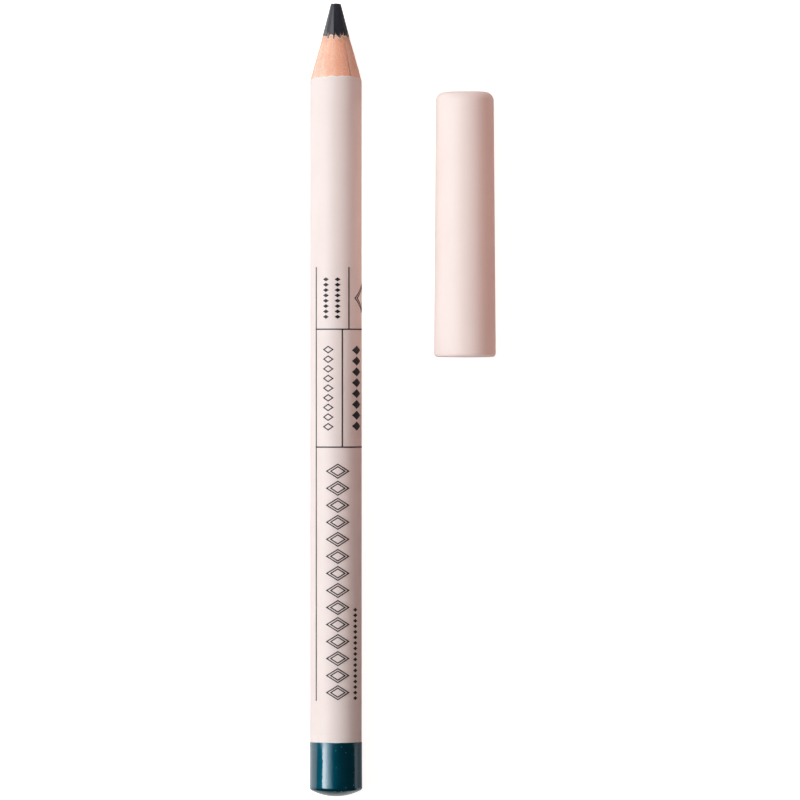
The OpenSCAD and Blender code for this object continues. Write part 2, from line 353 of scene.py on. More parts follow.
grain_sizes = {"Width": 0.0002, "Length": 0.006, "Low": 0.4, "High": 0.6}
grain, given, out = new_group("lengthwise grain", grain_sizes, "Streaks", FLOAT)
long_cell = xyz(grain, X=given["Width"], Y=given["Length"], Z=given["Width"])
streaks = noise(grain, cells(grain, long_cell), 2.0, 0.6)
grain.links.new(mask_from(grain, streaks, given["Low"], given["High"]), out)
print("shared effects:", ", ".join(group.name for group in bpy.data.node_groups))

# %% [markdown]
# A finish then starts with a Principled shader. Its plain numbers are set on
# its own sockets, and only what changes over the surface is linked. A colour
# is painted in coats: each lies over the last where its mask is 1.

# %% Starting a finish
def spaced(settings):
    return {label.replace("_", " "): value for label, value in settings.items()}


def new_finish(name, **plain):
    """A material, its tree and its Principled shader, with plain values on the sockets."""
    material = bpy.data.materials.new(name)
    material.use_nodes = True
    shader = material.node_tree.nodes["Principled BSDF"]
    for label, value in spaced(plain).items():
        shader.inputs[label].default_value = value
    print(f"finish {name}, with plain {', '.join(spaced(plain))}")
    return material, material.node_tree, shader


def effect(tree, group, **inputs):
    """Places a shared effect with its own values and gives its only output."""
    return take(tree, "ShaderNodeGroup", spaced(inputs), node_tree=group)


def mark(tree, label):
    """A named value that the mesh carries."""
    return put(tree, "ShaderNodeAttribute", attribute_name=label).outputs["Fac"]


def paint(tree, colour, *coats):
    """A colour with coats over it, each a mask and the colour where that mask is 1."""
    def opaque(value):
        return value if isinstance(value, bpy.types.NodeSocket) else (*value, 1)

    for mask, coat in coats:
        inputs = {0: mask, 6: opaque(colour), 7: opaque(coat)}
        colour = put(tree, "ShaderNodeMix", inputs, data_type="RGBA").outputs[2]
    return colour


def between(tree, mask, low, high):
    """A number that goes from low to high with the mask."""
    return take(tree, "ShaderNodeMapRange", {"Value": mask, "To Min": low, "To Max": high})


def part_of(tree, mask, share):
    return calc(tree, "MULTIPLY", mask, share)


def cover(tree, shader, **sockets):
    """Links what changes over the surface to the shader."""
    for label, value in spaced(sockets).items():
        tree.links.new(value, shader.inputs[label])


def bump(tree, shader, height, depth):
    """Raises the finish and its clear coat by a height map, by so many mm from its 0 to its 1."""
    relief = {"Strength": 1.0, "Distance": MM * depth, "Height": height}
    normal = take(tree, "ShaderNodeBump", relief)
    cover(tree, shader, Normal=normal, Coat_Normal=normal)


def object_axes(tree):
    return split(tree, put(tree, "ShaderNodeTexCoord").outputs["Object"])


def across(tree, low, high):
    """A mask across the pencil, from one distance right of its axis to another, in mm."""
    return mask_from(tree, object_axes(tree)[0], (AXIS_X + low) * MM, (AXIS_X + high) * MM)


def along(tree, low, high):
    """A mask along the pencil, from one height above its butt end to another, in mm."""
    return mask_from(tree, object_axes(tree)[1], (BUTT_Y + low) * MM, (BUTT_Y + high) * MM)


# %% [markdown]
# ## The outline that every layer shares
# The butt end is a shallow dome with a small rounding at its edge. The dip,
# the lacquer and the wood all follow it, one inside the next. One function
# gives the dome as a profile for any radius, and one its height at a radius.

# %% Domed end
DOME_R = 8.2
DOME_EDGE_R = 0.45
DIP_END_T = 0.2
DIP_R = 4.075
WOOD_DOME = DOME_R - DIP_END_T
WOOD_EDGE = DOME_EDGE_R - (DIP_R - BARREL_R)
# The plain sides start so far above the butt end and stop so far below their upper edge.
SIDE_START, SIDE_STOP = 4, 2


def domed_end(radius, dome, edge, crown, dome_steps=18, edge_steps=14):
    """Radii and heights from the crown to the side of a domed end."""
    rim = radius - edge
    lean = math.asin(rim / (dome - edge))
    sweep = np.linspace(0, lean, dome_steps)
    arc = np.linspace(lean, np.pi / 2, edge_steps)[1:]
    middle = crown + dome - (dome - edge) * math.cos(lean)
    radii = np.concatenate([dome * np.sin(sweep), rim + edge * np.sin(arc)])
    heights = np.concatenate([crown + dome * (1 - np.cos(sweep)), middle - edge * np.cos(arc)])
    return list(zip(radii, heights))


def wood_dome_height(radius):
    """Height of the dome under the dip at a radius."""
    rim = BARREL_R - WOOD_EDGE
    lean = math.asin(rim / (WOOD_DOME - WOOD_EDGE))
    middle = DIP_END_T + WOOD_DOME - (WOOD_DOME - WOOD_EDGE) * math.cos(lean)
    radius = np.asarray(radius, float)
    on_dome = DIP_END_T + WOOD_DOME - np.sqrt(WOOD_DOME**2 - radius**2)
    out_on_edge = np.clip((radius - rim) / WOOD_EDGE, 0, 1)
    on_edge = middle - WOOD_EDGE * np.sqrt(1 - out_on_edge**2)
    return np.where(radius < WOOD_DOME * math.sin(lean), on_dome, on_edge)


print(f"the dome rises {wood_dome_height(BARREL_R):.2f} mm to the side")

# %% [markdown]
# ## The lacquered barrel
# The barrel is dipped several times in pale lacquer, pulled through a
# gasket that wipes it to size, and dried. The coat is 0.1 mm thick. Where the
# sharpener cuts it at a slant, it shows as a narrow bevel, painted near-white
# as pale primer and as a painted highlight of the cut edge, and its lower
# edge wanders a little because the coat is not equally thick all round.
#
# A lathe in mesh code fits best: one profile, swept round, whose inner radius
# changes with the turn. The same inner radius is used for the wood, so that
# both meet in one line. The mesh marks where near-white primer is painted,
# which is also a painted highlight: on the bevel, and in a hairline along
# the dip's edge.

# %% Blush lacquer
def blush_finish(name, shades, cloud_size, dust, roughness, peel, depth, primer_highlight=None, **plain):
    """A pale satin skin: a shade, its mottle, its specks of dust, and near-white primer painted on edges
    as a highlight, if any.
    """
    material, tree, shader = new_finish(name, **plain)
    mottle = effect(tree, clouds, Cloud_Size=cloud_size)
    coats = [(mottle, shades[1]), (effect(tree, specks, **dust), shades[2])]
    if primer_highlight:
        coats.append((mark(tree, "primer_and_highlight"), primer_highlight))
    colour = paint(tree, shades[0], *coats)
    cover(tree, shader, Base_Color=colour, Roughness=between(tree, mottle, *roughness))
    bump(tree, shader, effect(tree, skin, **peel), depth)
    return material


lacquer = blush_finish(
    "blush_lacquer",
    [(0.865, 0.785, 0.77), (0.875, 0.80, 0.785), (0.72, 0.60, 0.57)],
    cloud_size=0.006,
    dust={"Spacing": 0.0024, "Speck_Size": 0.03, "Share": 0.25},
    roughness=(0.42, 0.48),
    peel={"Swell_Size": 0.0035, "Texture_Size": 0.00035, "Texture_Share": 0.12},
    depth=0.012,
    # Near-white primer on the edges, which is also a painted highlight.
    primer_highlight=(0.96, 0.93, 0.915),
    Roughness=0.42,
    IOR=1.45,
    Specular_IOR_Level=0.3,
)

# %% Barrel
# Each pair is a turn in degrees and the radius at which the lacquer ends there.
FOOT_MARKS = [
    (-90, 3.955), (-68, 3.93), (-51, 3.865), (-37, 3.85), (-23, 3.82), (-11, 3.785), (0, 3.83),
    (11, 3.80), (20, 3.78), (30, 3.79), (44, 3.84), (68, 3.90), (90, 3.92), (135, 3.85),
    (180, 3.88), (225, 3.83),
]
DIP_L = 8.3
DIP_EDGE_Z = DIP_L + 0.14
HAIRLINE = 0.1
BEVEL_SOFT = 0.03


def paint_foot(turn):
    """Radius at which the lacquer sits on the wood, at a turn."""
    uneven = 0.012 * wobble(turn, 0, 40, 1, 11) + 0.018 * wobble(turn, 0, 110, 1, 12)
    return through_marks(turn, FOOT_MARKS) + uneven


foot = paint_foot(turns)
rounding = foot + (BARREL_R - foot) * np.linspace(0, 1, 7)[:, None]
side_heights = [
    *np.linspace(wood_dome_height(BARREL_R) + 0.4, DIP_L - 0.3, 3),
    *(DIP_EDGE_Z + np.array([-0.1, HAIRLINE, HAIRLINE + 0.12])),
    *np.linspace(DIP_L + 4, SHOULDER_Z - 0.05, 22),
]
bevel_top = BARREL_R - BEVEL_SOFT
near_foot = foot + 0.4 * (bevel_top - foot)
rows = [(r, wood_dome_height(r)) for r in rounding]
rows += [(BARREL_R, z) for z in side_heights]
rows.append((BARREL_R - 0.004, SHOULDER_Z + 0.005))
rows += [(r, cone_height(r)) for r in (bevel_top, near_foot, foot)]
# Where near-white primer is painted, also as a highlight: along the dip's edge and on the bevel.
primer_highlight = [0.0] * len(rounding) + [0.7 * (z < DIP_EDGE_Z + HAIRLINE + 0.01) for z in side_heights]
primer_highlight += [0.0, 0.0, 0.1, 0.9]
marks = {"primer_and_highlight": np.repeat(primer_highlight, ROUND)}
barrel = make_piece("lacquered_barrel", lacquer, turned_mesh("barrel", rows, marks, True))
dress(barrel, "lacquer", "lacquer_coat")

# %% [markdown]
# ## The collar, where pigment meets wood
# A sharpener cuts wood and pigment in one cone, so a perfect pencil would
# show a straight ring. In a real one the groove for the core is torn along
# the fibres: thin teeth of pigment hang down between tongues of wood. The
# collar is described once, as the core's radius at each turn, and the cone
# turns each step in radius into a step of three and a half times in height.

# %% Collar
# Each pair is a turn in degrees and how far the core's edge stands out there, in mm.
FRONT_MARKS = [
    (-76, 0.0), (-64, -0.03), (-46, -0.04), (-39, -0.01), (-36.5, 0.085), (-34, 0.115),
    (-31.5, 0.085), (-29.5, -0.05), (-25.5, -0.1), (-21.5, -0.115), (-17, -0.095), (-12, -0.05),
    (-10, 0.09), (-8.3, 0.135), (-6.6, 0.09), (-4.8, -0.05), (-1, -0.09), (3, -0.085),
    (8, -0.03), (12.5, 0.03), (15, 0.08), (18, 0.09), (21, 0.06), (23.5, -0.03), (27, -0.07),
    (31.5, -0.085), (37, -0.065), (42, -0.03), (46, -0.05), (52, -0.055), (57, -0.02),
    (61, 0.03), (66, 0.035), (69, 0.0), (76, -0.02),
]
BACK_TEETH = 32
TOOTH_SHARE, FRAY = 0.9, 0.018
collar_draw = np.random.default_rng(51)
back_turns = np.linspace(82, 278, BACK_TEETH) + collar_draw.uniform(-2, 2, BACK_TEETH)
back_sides = np.where(np.arange(BACK_TEETH) % 2, -1, 1)
back_sides = back_sides * collar_draw.uniform(0.01, 0.12, BACK_TEETH)
collar_marks = FRONT_MARKS + list(zip(back_turns, back_sides))


def collar_radius(turn):
    """Radius at which pigment meets wood, at a turn."""
    frayed = FRAY * wobble(turn, 0, 150, 1, 52)
    return CORE_R + TOOTH_SHARE * through_marks(turn, collar_marks) + frayed


collar = collar_radius(turns)
print(f"the collar runs from {collar.min():.2f} to {collar.max():.2f} mm")

# %% [markdown]
# ## The wood
# The casing is two slats of cedar, glued round the core. The left slat is
# paler than the right one, and the glue shows as a thin dark line where they
# meet. A blade has cut the cone, so the fibres stand up a little, and
# streaks of darker early wood run along it.
#
# Each slat is a closed solid: the cone and the round side outside, the groove
# inside, and a flat glue face on each edge. Fibres are displaced in the mesh,
# because they show at the edge of the cone, and finer ones are bump.

# %% Slat mesh
CONE_ROWS = 96
CONE_LEAN = math.atan(1 / CONE_RUN)
GLUE_HALF_TURN = 3.6
GLUE_DEPTH = 0.014
FAR_BELOW = 9.0
FIBRES_FADE = 0.03


def fibre_relief(turn, height):
    """How far the fibres stand below the blade's cut, in mm."""
    fine = 0.011 * (1 - wobble(turn, height, 220, 2.6, 21)) / 2
    broad = 0.012 * (1 - wobble(turn, height, 60, 4.0, 22)) / 2
    chatter = 0.003 * (1 - wobble(0, height, 3, 0.33, 23)) / 2
    return fine + broad + chatter


def glue_line(turn):
    """How near a turn is to a glue line, from 0 to 1."""
    off = np.abs((np.degrees(turn) - SEAM_TURN + 90) % 180 - 90)
    return np.clip(1 - off / GLUE_HALF_TURN, 0, 1)


def slat(name, first, finish):
    """One half of the casing, from one glue face to the other."""
    count = ROUND // 2 + 1
    turn = turns[0] + np.radians(first + np.arange(count) * 360 / ROUND)
    foot, edge = paint_foot(turn), collar_radius(turn)
    share = np.linspace(0, 1, CONE_ROWS)[:, None]
    radius = foot + (edge - foot) * share
    height = cone_height(radius)
    window = np.clip(np.minimum(share, 1 - share) / FIBRES_FADE, 0, 1)
    sink = (fibre_relief(turn, height) + GLUE_DEPTH * glue_line(turn)) * window
    rows = [(r, wood_dome_height(r)) for r in edge + (foot - edge) * np.linspace(0, 1, 8)[:, None]]
    rows += [(foot, z) for z in np.linspace(SIDE_START, SHOULDER_Z - SIDE_STOP, 8)]
    rows += zip(radius - sink * math.cos(CONE_LEAN), height - sink * math.sin(CONE_LEAN))
    faces = grid_faces(len(rows), count, rows_close=True, columns_close=False)
    glue_face = np.arange(len(rows)) * count
    faces += [glue_face.tolist(), (glue_face + count - 1)[::-1].tolist()]
    below = np.full((len(rows), count), FAR_BELOW)
    below[-CONE_ROWS:] = cone_height(edge) - height
    glue = np.zeros_like(below)
    glue[-CONE_ROWS:] = glue_line(turn)
    points = [on_pencil(r, turn, z) for r, z in rows]
    mesh = new_mesh("slat", points, faces, {"below_collar": below, "glue_line": glue})
    return make_piece(name, finish, mesh)


# %% [markdown]
# The wood deepens in tone from its outer, left side to the heart, with broad
# and fine streaks along the grain and one warm streak right of the middle.
# That paler left side is partly painted light, where the light falls most.
# Beyond the streak the colour turns darker towards the seam, which is painted
# shade. Pale splinters roughen it, a pale rim along the collar is a painted
# highlight on the edges of the tongues, and pigment dust is rubbed into the
# wood just below the collar. The mesh carries the distance below the collar
# and the glue line as named values, so the colour follows the edges.

# %% Cedar finish
DUSTY, PAINTED_RIM_HIGHLIGHT = (0.16, 0.12, 0.12), (0.97, 0.86, 0.74)
SPLINTER, GLUE = (1.0, 0.78, 0.62), (0.26, 0.12, 0.08)
# Each pair says where a mask is 0 and where it is 1: in mm right of the pencil's axis,
LIT_TO_HEART, TO_FUZZY, TO_SHADED = (-3.4, 0.4), (-0.3, 0.3), (1.12, 1.35)
# in mm below the collar,
SMUDGED, RIMMED, GLUED = (1.5, 0.1), (0.26, 0.06), (1.5, 4.5)
# and in metres from the middle of the streak.
STREAKED = (0.00062, 0.00035)


def cedar(name, pale, heart_and_shade, deep, streak, shaded, streak_off, contrast):
    """Sharpened cedar, whose warm streak lies so many mm right of the pencil's axis."""
    material, tree, shader = new_finish(name, Roughness=0.72, IOR=1.4)
    below, glue = mark(tree, "below_collar"), mark(tree, "glue_line")
    broad = effect(tree, grain, Width=0.0007, Length=0.012, Low=0.35, High=0.68)
    fine = effect(tree, grain, Width=0.00015, Length=0.0014, Low=0.42, High=0.62)
    splinters = effect(tree, specks, Spacing=0.00028, Speck_Size=0.34, Share=0.3)
    off = calc(tree, "SUBTRACT", object_axes(tree)[0], (AXIS_X + streak_off) * MM)
    on_streak = mask_from(tree, calc(tree, "ABSOLUTE", off), *STREAKED)
    warm = calc(tree, "MULTIPLY", on_streak, between(tree, broad, 0.6, 1.0))
    fuzzy = calc(tree, "MULTIPLY_ADD", across(tree, *TO_FUZZY), 0.45, 0.2)
    patches = effect(tree, clouds, Cloud_Size=0.0006)
    smudge = calc(tree, "MULTIPLY", mask_from(tree, below, *SMUDGED), patches)
    glue_tone = between(tree, mask_from(tree, below, *GLUED), 0.12, 0.5)
    colour = paint(
        tree,
        pale,
        # Paler on the lit left and deeper to the right: partly the heart's tone, partly painted light
        # and shade.
        (across(tree, *LIT_TO_HEART), heart_and_shade),
        (part_of(tree, broad, contrast), deep),
        (part_of(tree, fine, contrast * 0.7), np.multiply(deep, (1.0, 0.72, 0.68))),
        (warm, streak),
        # Painted shade on the side right of the warm streak.
        (part_of(tree, across(tree, *TO_SHADED), 0.8), shaded),
        (part_of(tree, splinters, fuzzy), SPLINTER),
        # Painted highlight on the wood's edge at the collar.
        (part_of(tree, mask_from(tree, below, *RIMMED), 0.75), PAINTED_RIM_HIGHLIGHT),
        (part_of(tree, smudge, 0.3), DUSTY),
        (part_of(tree, glue, glue_tone), GLUE),
    )
    cover(tree, shader, Base_Color=colour, Roughness=between(tree, fine, 0.66, 0.8))
    fuzz = effect(tree, grain, Width=0.00012, Length=0.0007, Low=0.3, High=0.7)
    bump(tree, shader, fuzz, 0.03)
    return material


# %% Slats
left_cedar = cedar(
    "pale_cedar",
    pale=(1.0, 0.82, 0.705),
    heart_and_shade=(1.0, 0.60, 0.42),
    deep=(1.0, 0.54, 0.375),
    streak=(1.0, 0.50, 0.33),
    shaded=(0.96, 0.46, 0.325),
    streak_off=0.66,
    contrast=0.55,
)
right_cedar = cedar(
    "brown_cedar",
    pale=(0.98, 0.66, 0.53),
    heart_and_shade=(0.98, 0.66, 0.53),
    deep=(0.92, 0.54, 0.42),
    streak=(0.90, 0.52, 0.40),
    shaded=(0.98, 0.66, 0.53),
    streak_off=2.66,
    contrast=0.8,
)
left_slat = slat("left_wood_slat", 180, left_cedar)
right_slat = slat("right_wood_slat", 0, right_cedar)
dress(left_slat, "cedar", "left_slat")
dress(right_slat, "cedar", "right_slat")

# %% [markdown]
# ## The sharpened core
# The pigment is soft and waxy. The blade planes it in a few strokes, which
# leaves flats with soft ridges between them: the photograph shows one
# ridge almost in the middle, with a grey flat to its left and a near-black one
# to its right. The blade turns as it cuts, so the flats twist a little on
# their way up. The very tip is a small chipped flat.
#
# It is again a lathe, whose radius is pulled in between the ridges.

# %% Pigment finish
pigment, tree, shader = new_finish("wax_pigment", Roughness=0.42, IOR=1.6)
strokes = effect(tree, grain, Width=0.00022, Length=0.003, Low=0.3, High=0.7)
grit = effect(tree, specks, Spacing=0.0004, Speck_Size=0.16, Share=0.2)
colour = paint(
    tree,
    (0.023, 0.025, 0.036),
    (strokes, (0.033, 0.035, 0.049)),
    (grit, (0.075, 0.075, 0.085)),
    (mark(tree, "chip"), (0.05, 0.018, 0.016)),
)
cover(tree, shader, Base_Color=colour, Roughness=between(tree, strokes, 0.34, 0.46))
bump(tree, shader, strokes, 0.004)

# %% Core
RIDGES = np.radians([-90, -50, -11, 48, 90, 135, 182, 226, 270])
FLAT_SHARE = 0.8
BLADE_TWIST = math.radians(11)
CORE_PROUD = 0.035
CORE_ROWS = 60
TIP_R = 0.725
TIP_BEVEL = 0.08
CHIP_DEPTH = 0.17
SCRATCH_DEPTH = 0.006
# Shares of the way to the tip: where the twist is nil, and by which each form is fully there.
TWIST_FROM, FLATS_BY, PROUD_BY, SCRATCHED_BY = 0.25, 0.12, 0.1, 0.05


def flats(turn):
    """How far a blade's flat lies inside the round cone at a turn, as a share of its radius."""
    turn = (turn - RIDGES[0]) % (2 * np.pi) + RIDGES[0]
    i = np.clip(np.searchsorted(RIDGES, turn, side="right") - 1, 0, len(RIDGES) - 2)
    half = (RIDGES[i + 1] - RIDGES[i]) / 2
    return 1 - np.cos(half) / np.cos(turn - RIDGES[i] - half)


def from_collar(over):
    """Rises from 0 at the collar to 1 at a share of the way to the tip."""
    return np.clip(share / over, 0, 1)


share = np.linspace(0, 1, CORE_ROWS)[:, None]
core_z = cone_height(collar) + (PENCIL_L - TIP_BEVEL - cone_height(collar)) * share
core_r = collar + (TIP_R + TIP_BEVEL / 4 - collar) * share
twisted = flats(turns + BLADE_TWIST * (share - TWIST_FROM))
core_r = core_r * (1 - FLAT_SHARE * from_collar(FLATS_BY) * twisted)
core_r = core_r + CORE_PROUD * from_collar(PROUD_BY)
scratches = SCRATCH_DEPTH * (1 + wobble(turns, core_z, 90, 1.4, 31))
core_r = core_r - scratches * from_collar(SCRATCHED_BY)
chips = 0.05 * (1 + wobble(turns, 0, 11, 1, 32)) + 0.02 * (1 + wobble(turns, 0, 30, 1, 33))
rim_r = core_r[-1] - 0.02 - 0.4 * chips
butt_rows = [(0, DIP_END_T)] + [(collar * s, wood_dome_height(collar * s)) for s in (0.6, 1)]
rod_rows = [(collar, z) for z in np.linspace(SIDE_START, COLLAR_Z - SIDE_STOP, 6)]
tip_rows = [(rim_r, PENCIL_L - chips), (rim_r * 0.8, PENCIL_L - chips - 0.035)]
tip_rows += [(rim_r * 0.5, PENCIL_L - 0.15), (rim_r * 0.2, PENCIL_L - CHIP_DEPTH)]
tip_rows += [(0, PENCIL_L - CHIP_DEPTH)]
rows = [*butt_rows, *rod_rows, *zip(core_r, core_z), *tip_rows]
chip_mark = np.zeros((len(rows), ROUND))
chip_mark[-len(tip_rows) - 1:] = np.clip(np.cos(turns - math.radians(70)) * 2 + 0.3, 0, 1)
core = make_piece("sharpened_core", pigment, turned_mesh("core", rows, {"chip": chip_mark}))
dress(core, "pigment", "pigment_core")

# %% [markdown]
# ## The dipped end
# The butt end is dipped last, upside down, into glossy teal. Surface tension
# rounds the upper edge of the coat into a fine lip, which catches the light
# as a thin line, and the liquid drains towards the crown, so the coat is
# thickest there. Its reflections show how even the skin is: a very slight
# swell makes the bright stripe waver. The last millimetre dries first and
# stays duller, so it is a ring of its own with a rougher clear coat.

# %% Teal dip finish
# The last colour is pale dust, which also paints tiny glints.
TEAL, DEEPER_TEAL, TEAL_DUST_AND_GLINTS = (0.0003, 0.084, 0.134), (0.0005, 0.097, 0.152), (0.18, 0.54, 0.60)
# Heights above the butt end, in mm, where a mask is 0 and where it is 1.
ROUNDING_FROM, ROUNDING_TO = (0.7, 0.8), (1.15, 1.05)


def teal_finish(name, coat_roughness):
    """Dipping lacquer; the rougher its clear skin, the softer its mirror image."""
    material, tree, shader = new_finish(
        name,
        IOR=1.5,
        Metallic=0.8,
        Specular_IOR_Level=0.0,
        Coat_Weight=1.0,
        Coat_IOR=1.68,
        Coat_Roughness=coat_roughness,
    )
    depth = effect(tree, clouds, Cloud_Size=0.003)
    low, high = along(tree, *ROUNDING_FROM), along(tree, *ROUNDING_TO)
    on_rounding = calc(tree, "MULTIPLY", low, high)
    # Dust nibs and runs on the rounding: real bumps, coloured pale as painted glints.
    runs = effect(tree, specks, Spacing=0.0005, Speck_Size=0.2, Share=0.4)
    dust = effect(tree, specks, Spacing=0.0007, Speck_Size=0.075, Share=0.55)
    dust = calc(tree, "MAXIMUM", dust, calc(tree, "MULTIPLY", on_rounding, runs))
    cover(
        tree,
        shader,
        Base_Color=paint(tree, TEAL, (depth, DEEPER_TEAL), (dust, TEAL_DUST_AND_GLINTS)),
        Metallic=between(tree, dust, 0.8, 0.0),
        Coat_Weight=between(tree, dust, 1.0, 0.4),
        Roughness=between(tree, depth, 0.51, 0.57),
    )
    ripple = effect(tree, skin, Swell_Size=0.0022, Texture_Size=0.00032, Texture_Share=0.6)
    bump(tree, shader, calc(tree, "MULTIPLY_ADD", dust, 0.4, ripple), 0.024)
    return material


teal, dried_teal = teal_finish("teal_dip", 0.02), teal_finish("dried_teal", 0.23)

# %% Dip
DRAINED_EDGE_R = DOME_EDGE_R + 0.08
DIP_EDGE_T = 0.05
LIP_R = 0.06
DRY_L = 0.9
SWELL, RIPPLE, SWELL_ENDS = 0.004, 0.0018, 0.5
dome_rows = domed_end(DIP_R, DOME_R, DRAINED_EDGE_R, 0.0)
inner_rows = domed_end(BARREL_R, WOOD_DOME, WOOD_EDGE, DIP_END_T)
lip_z = DIP_EDGE_Z - 0.02 * (1 + wobble(turns, 0, 14, 1, 41)) - LIP_R
start_z = dome_rows[-1][1]
cut_z = DIP_EDGE_Z - DRY_L


def coat_row(height):
    """Outer radius and height of the coat, which thins upwards and swells a little."""
    taper = DIP_R + (BARREL_R + DIP_EDGE_T - DIP_R) * (height / DIP_EDGE_Z)
    swell = SWELL * (1 + wobble(turns, height, 10, 2.4, 42))
    swell = swell + RIPPLE * (1 + wobble(turns, height, 26, 1.1, 43))
    ends = np.clip(height - start_z, 0, 1) * np.clip((lip_z - height) / SWELL_ENDS, 0, 1)
    return taper - swell * ends, height


rows = dome_rows + [coat_row(z) for z in np.linspace(start_z, cut_z, 16)[1:]]
rows += [(BARREL_R, cut_z), *inner_rows[::-1]]
dip = make_piece("dipped_end", teal, turned_mesh("dip", rows), sharp=60)
dress(dip, "dip", "end_dip")

rows = [coat_row(cut_z + (lip_z - cut_z) * s) for s in np.linspace(0, 1, 5)]
for angle in np.radians([30, 60, 90]):
    rows.append((BARREL_R + DIP_EDGE_T * math.cos(angle), lip_z + LIP_R * math.sin(angle)))
rows.append((BARREL_R, cut_z))
dried_ring = turned_mesh("dried_ring", rows, rows_close=True)
dried = make_piece("dried_dip_edge", dried_teal, dried_ring, sharp=60)
dress(dried, "dip")

# %% [markdown]
# ## Printed rules
# The print is one pass of black ink through a screen, so all its lines have
# one thickness and join without a seam. The rules are drawn as a mask on a
# grid of turns and heights. Each filled cell gets an outer and an inner face,
# and a side face wherever its neighbour is empty, which gives one closed film.

# %% Printing ink
ink, tree, shader = new_finish("screen_ink", Roughness=0.5, IOR=1.5)
uneven = effect(tree, clouds, Cloud_Size=0.0005)
colour = paint(tree, (0.010, 0.007, 0.007), (uneven, (0.020, 0.014, 0.014)))
cover(tree, shader, Base_Color=colour, Roughness=between(tree, uneven, 0.42, 0.6))

# %% Places of the rules
INK_T = 0.03
RULE_W = 0.2
PRINT_Z, MIDDLE_Z, OPEN_Z, PRINT_END_Z = 14.85, 54.05, 72.25, 81.85
LEFT_RULE, MIDDLE_RULE, OPEN_RULE, LAST_RULE = -48.5, 14.8, 30.6, 130
HALF_TURN = math.degrees(math.asin(RULE_W / 2 / BARREL_R))
upright = [
    (LEFT_RULE, PRINT_Z, PRINT_END_Z), (MIDDLE_RULE, MIDDLE_Z, OPEN_Z), (OPEN_RULE, OPEN_Z, PRINT_END_Z),
]
rules = [(turn - HALF_TURN, turn + HALF_TURN, low, high) for turn, low, high in upright]
rules += [(LEFT_RULE, LAST_RULE, z - RULE_W / 2, z + RULE_W / 2) for z in (MIDDLE_Z, OPEN_Z)]


def grid_lines(values, step):
    """The given values with even steps between neighbours that are far apart."""
    values = np.unique(np.round(values, 6))
    lines = [values[:1]]
    for low, high in zip(values[:-1], values[1:]):
        count = max(1, math.ceil((high - low) / step))
        lines.append(np.linspace(low, high, count + 1)[1:])
    return np.concatenate(lines)


turn_lines = grid_lines([v for rule in rules for v in rule[:2]], 1.5)
height_lines = grid_lines([v for rule in rules for v in rule[2:]], 6)
mid_turn = (turn_lines[1:] + turn_lines[:-1]) / 2
mid_height = (height_lines[1:] + height_lines[:-1])[:, None] / 2
inked = np.zeros((len(mid_height), len(mid_turn)), bool)
for first, last, low, high in rules:
    inked |= (mid_turn > first) & (mid_turn < last) & (mid_height > low) & (mid_height < high)
print(f"the rules fill {inked.sum()} of {inked.size} cells")

# %% Film of the rules
corner_turns, corner_heights = np.meshgrid(np.radians(turn_lines), height_lines)
layers = [on_pencil(r, corner_turns, corner_heights) for r in (BARREL_R, BARREL_R + INK_T)]
columns = len(turn_lines)
layer_size = columns * len(height_lines)
walled = np.pad(inked, 1)
faces = []
for i, j in zip(*np.nonzero(inked)):
    a = int(i * columns + j)
    corners = [a, a + 1, a + columns + 1, a + columns]
    faces += [[c + layer_size for c in corners], corners[::-1]]
    neighbours = [(i, j + 1), (i + 1, j + 2), (i + 2, j + 1), (i + 1, j)]
    for side, neighbour in enumerate(neighbours):
        if not walled[neighbour]:
            p, q = corners[side], corners[(side + 1) % 4]
            faces.append([p, q, q + layer_size, p + layer_size])


def drop_unused(points, faces):
    """Leaves out the points that no face uses."""
    used = np.unique(np.concatenate(faces))
    place = {int(old): new for new, old in enumerate(used)}
    return points[used], [[place[int(v)] for v in face] for face in faces]


film = new_mesh("rules", *drop_unused(np.reshape(layers, (-1, 3)), faces))
printed_rules = make_piece("printed_rules_film", ink, film, sharp=30)
dress(printed_rules, "ink", "printed_rules")

# %% [markdown]
# ## Printed ornament
# Where the real print has words, plain lozenges stand in rows. A row is a
# pattern with a rule, so Geometry Nodes make it: one flat lozenge is drawn
# from a circle of four points, its edges are extruded inwards to the stroke,
# copies are set along a line, and the whole row is wrapped round the barrel
# and given the ink's thickness. Every size is a named input of the tree.

# %% Steps that the geometry trees share
def move(tree, geometry, **inputs):
    """Sets the places of a geometry's points, or moves them by an offset."""
    return take(tree, "GeometryNodeSetPosition", {"Geometry": geometry, **inputs})


def weld(tree, geometry):
    return take(tree, "GeometryNodeMergeByDistance", {"Geometry": geometry, "Distance": WELD})


def end_tree(tree, geometry, finish, out):
    """Makes the copies real and gives them their material."""
    real = take(tree, "GeometryNodeRealizeInstances", {"Geometry": geometry})
    finished = take(tree, "GeometryNodeSetMaterial", {"Geometry": real, "Material": finish})
    tree.links.new(finished, out)
    print(f"{tree.name}: {len(tree.nodes)} nodes")


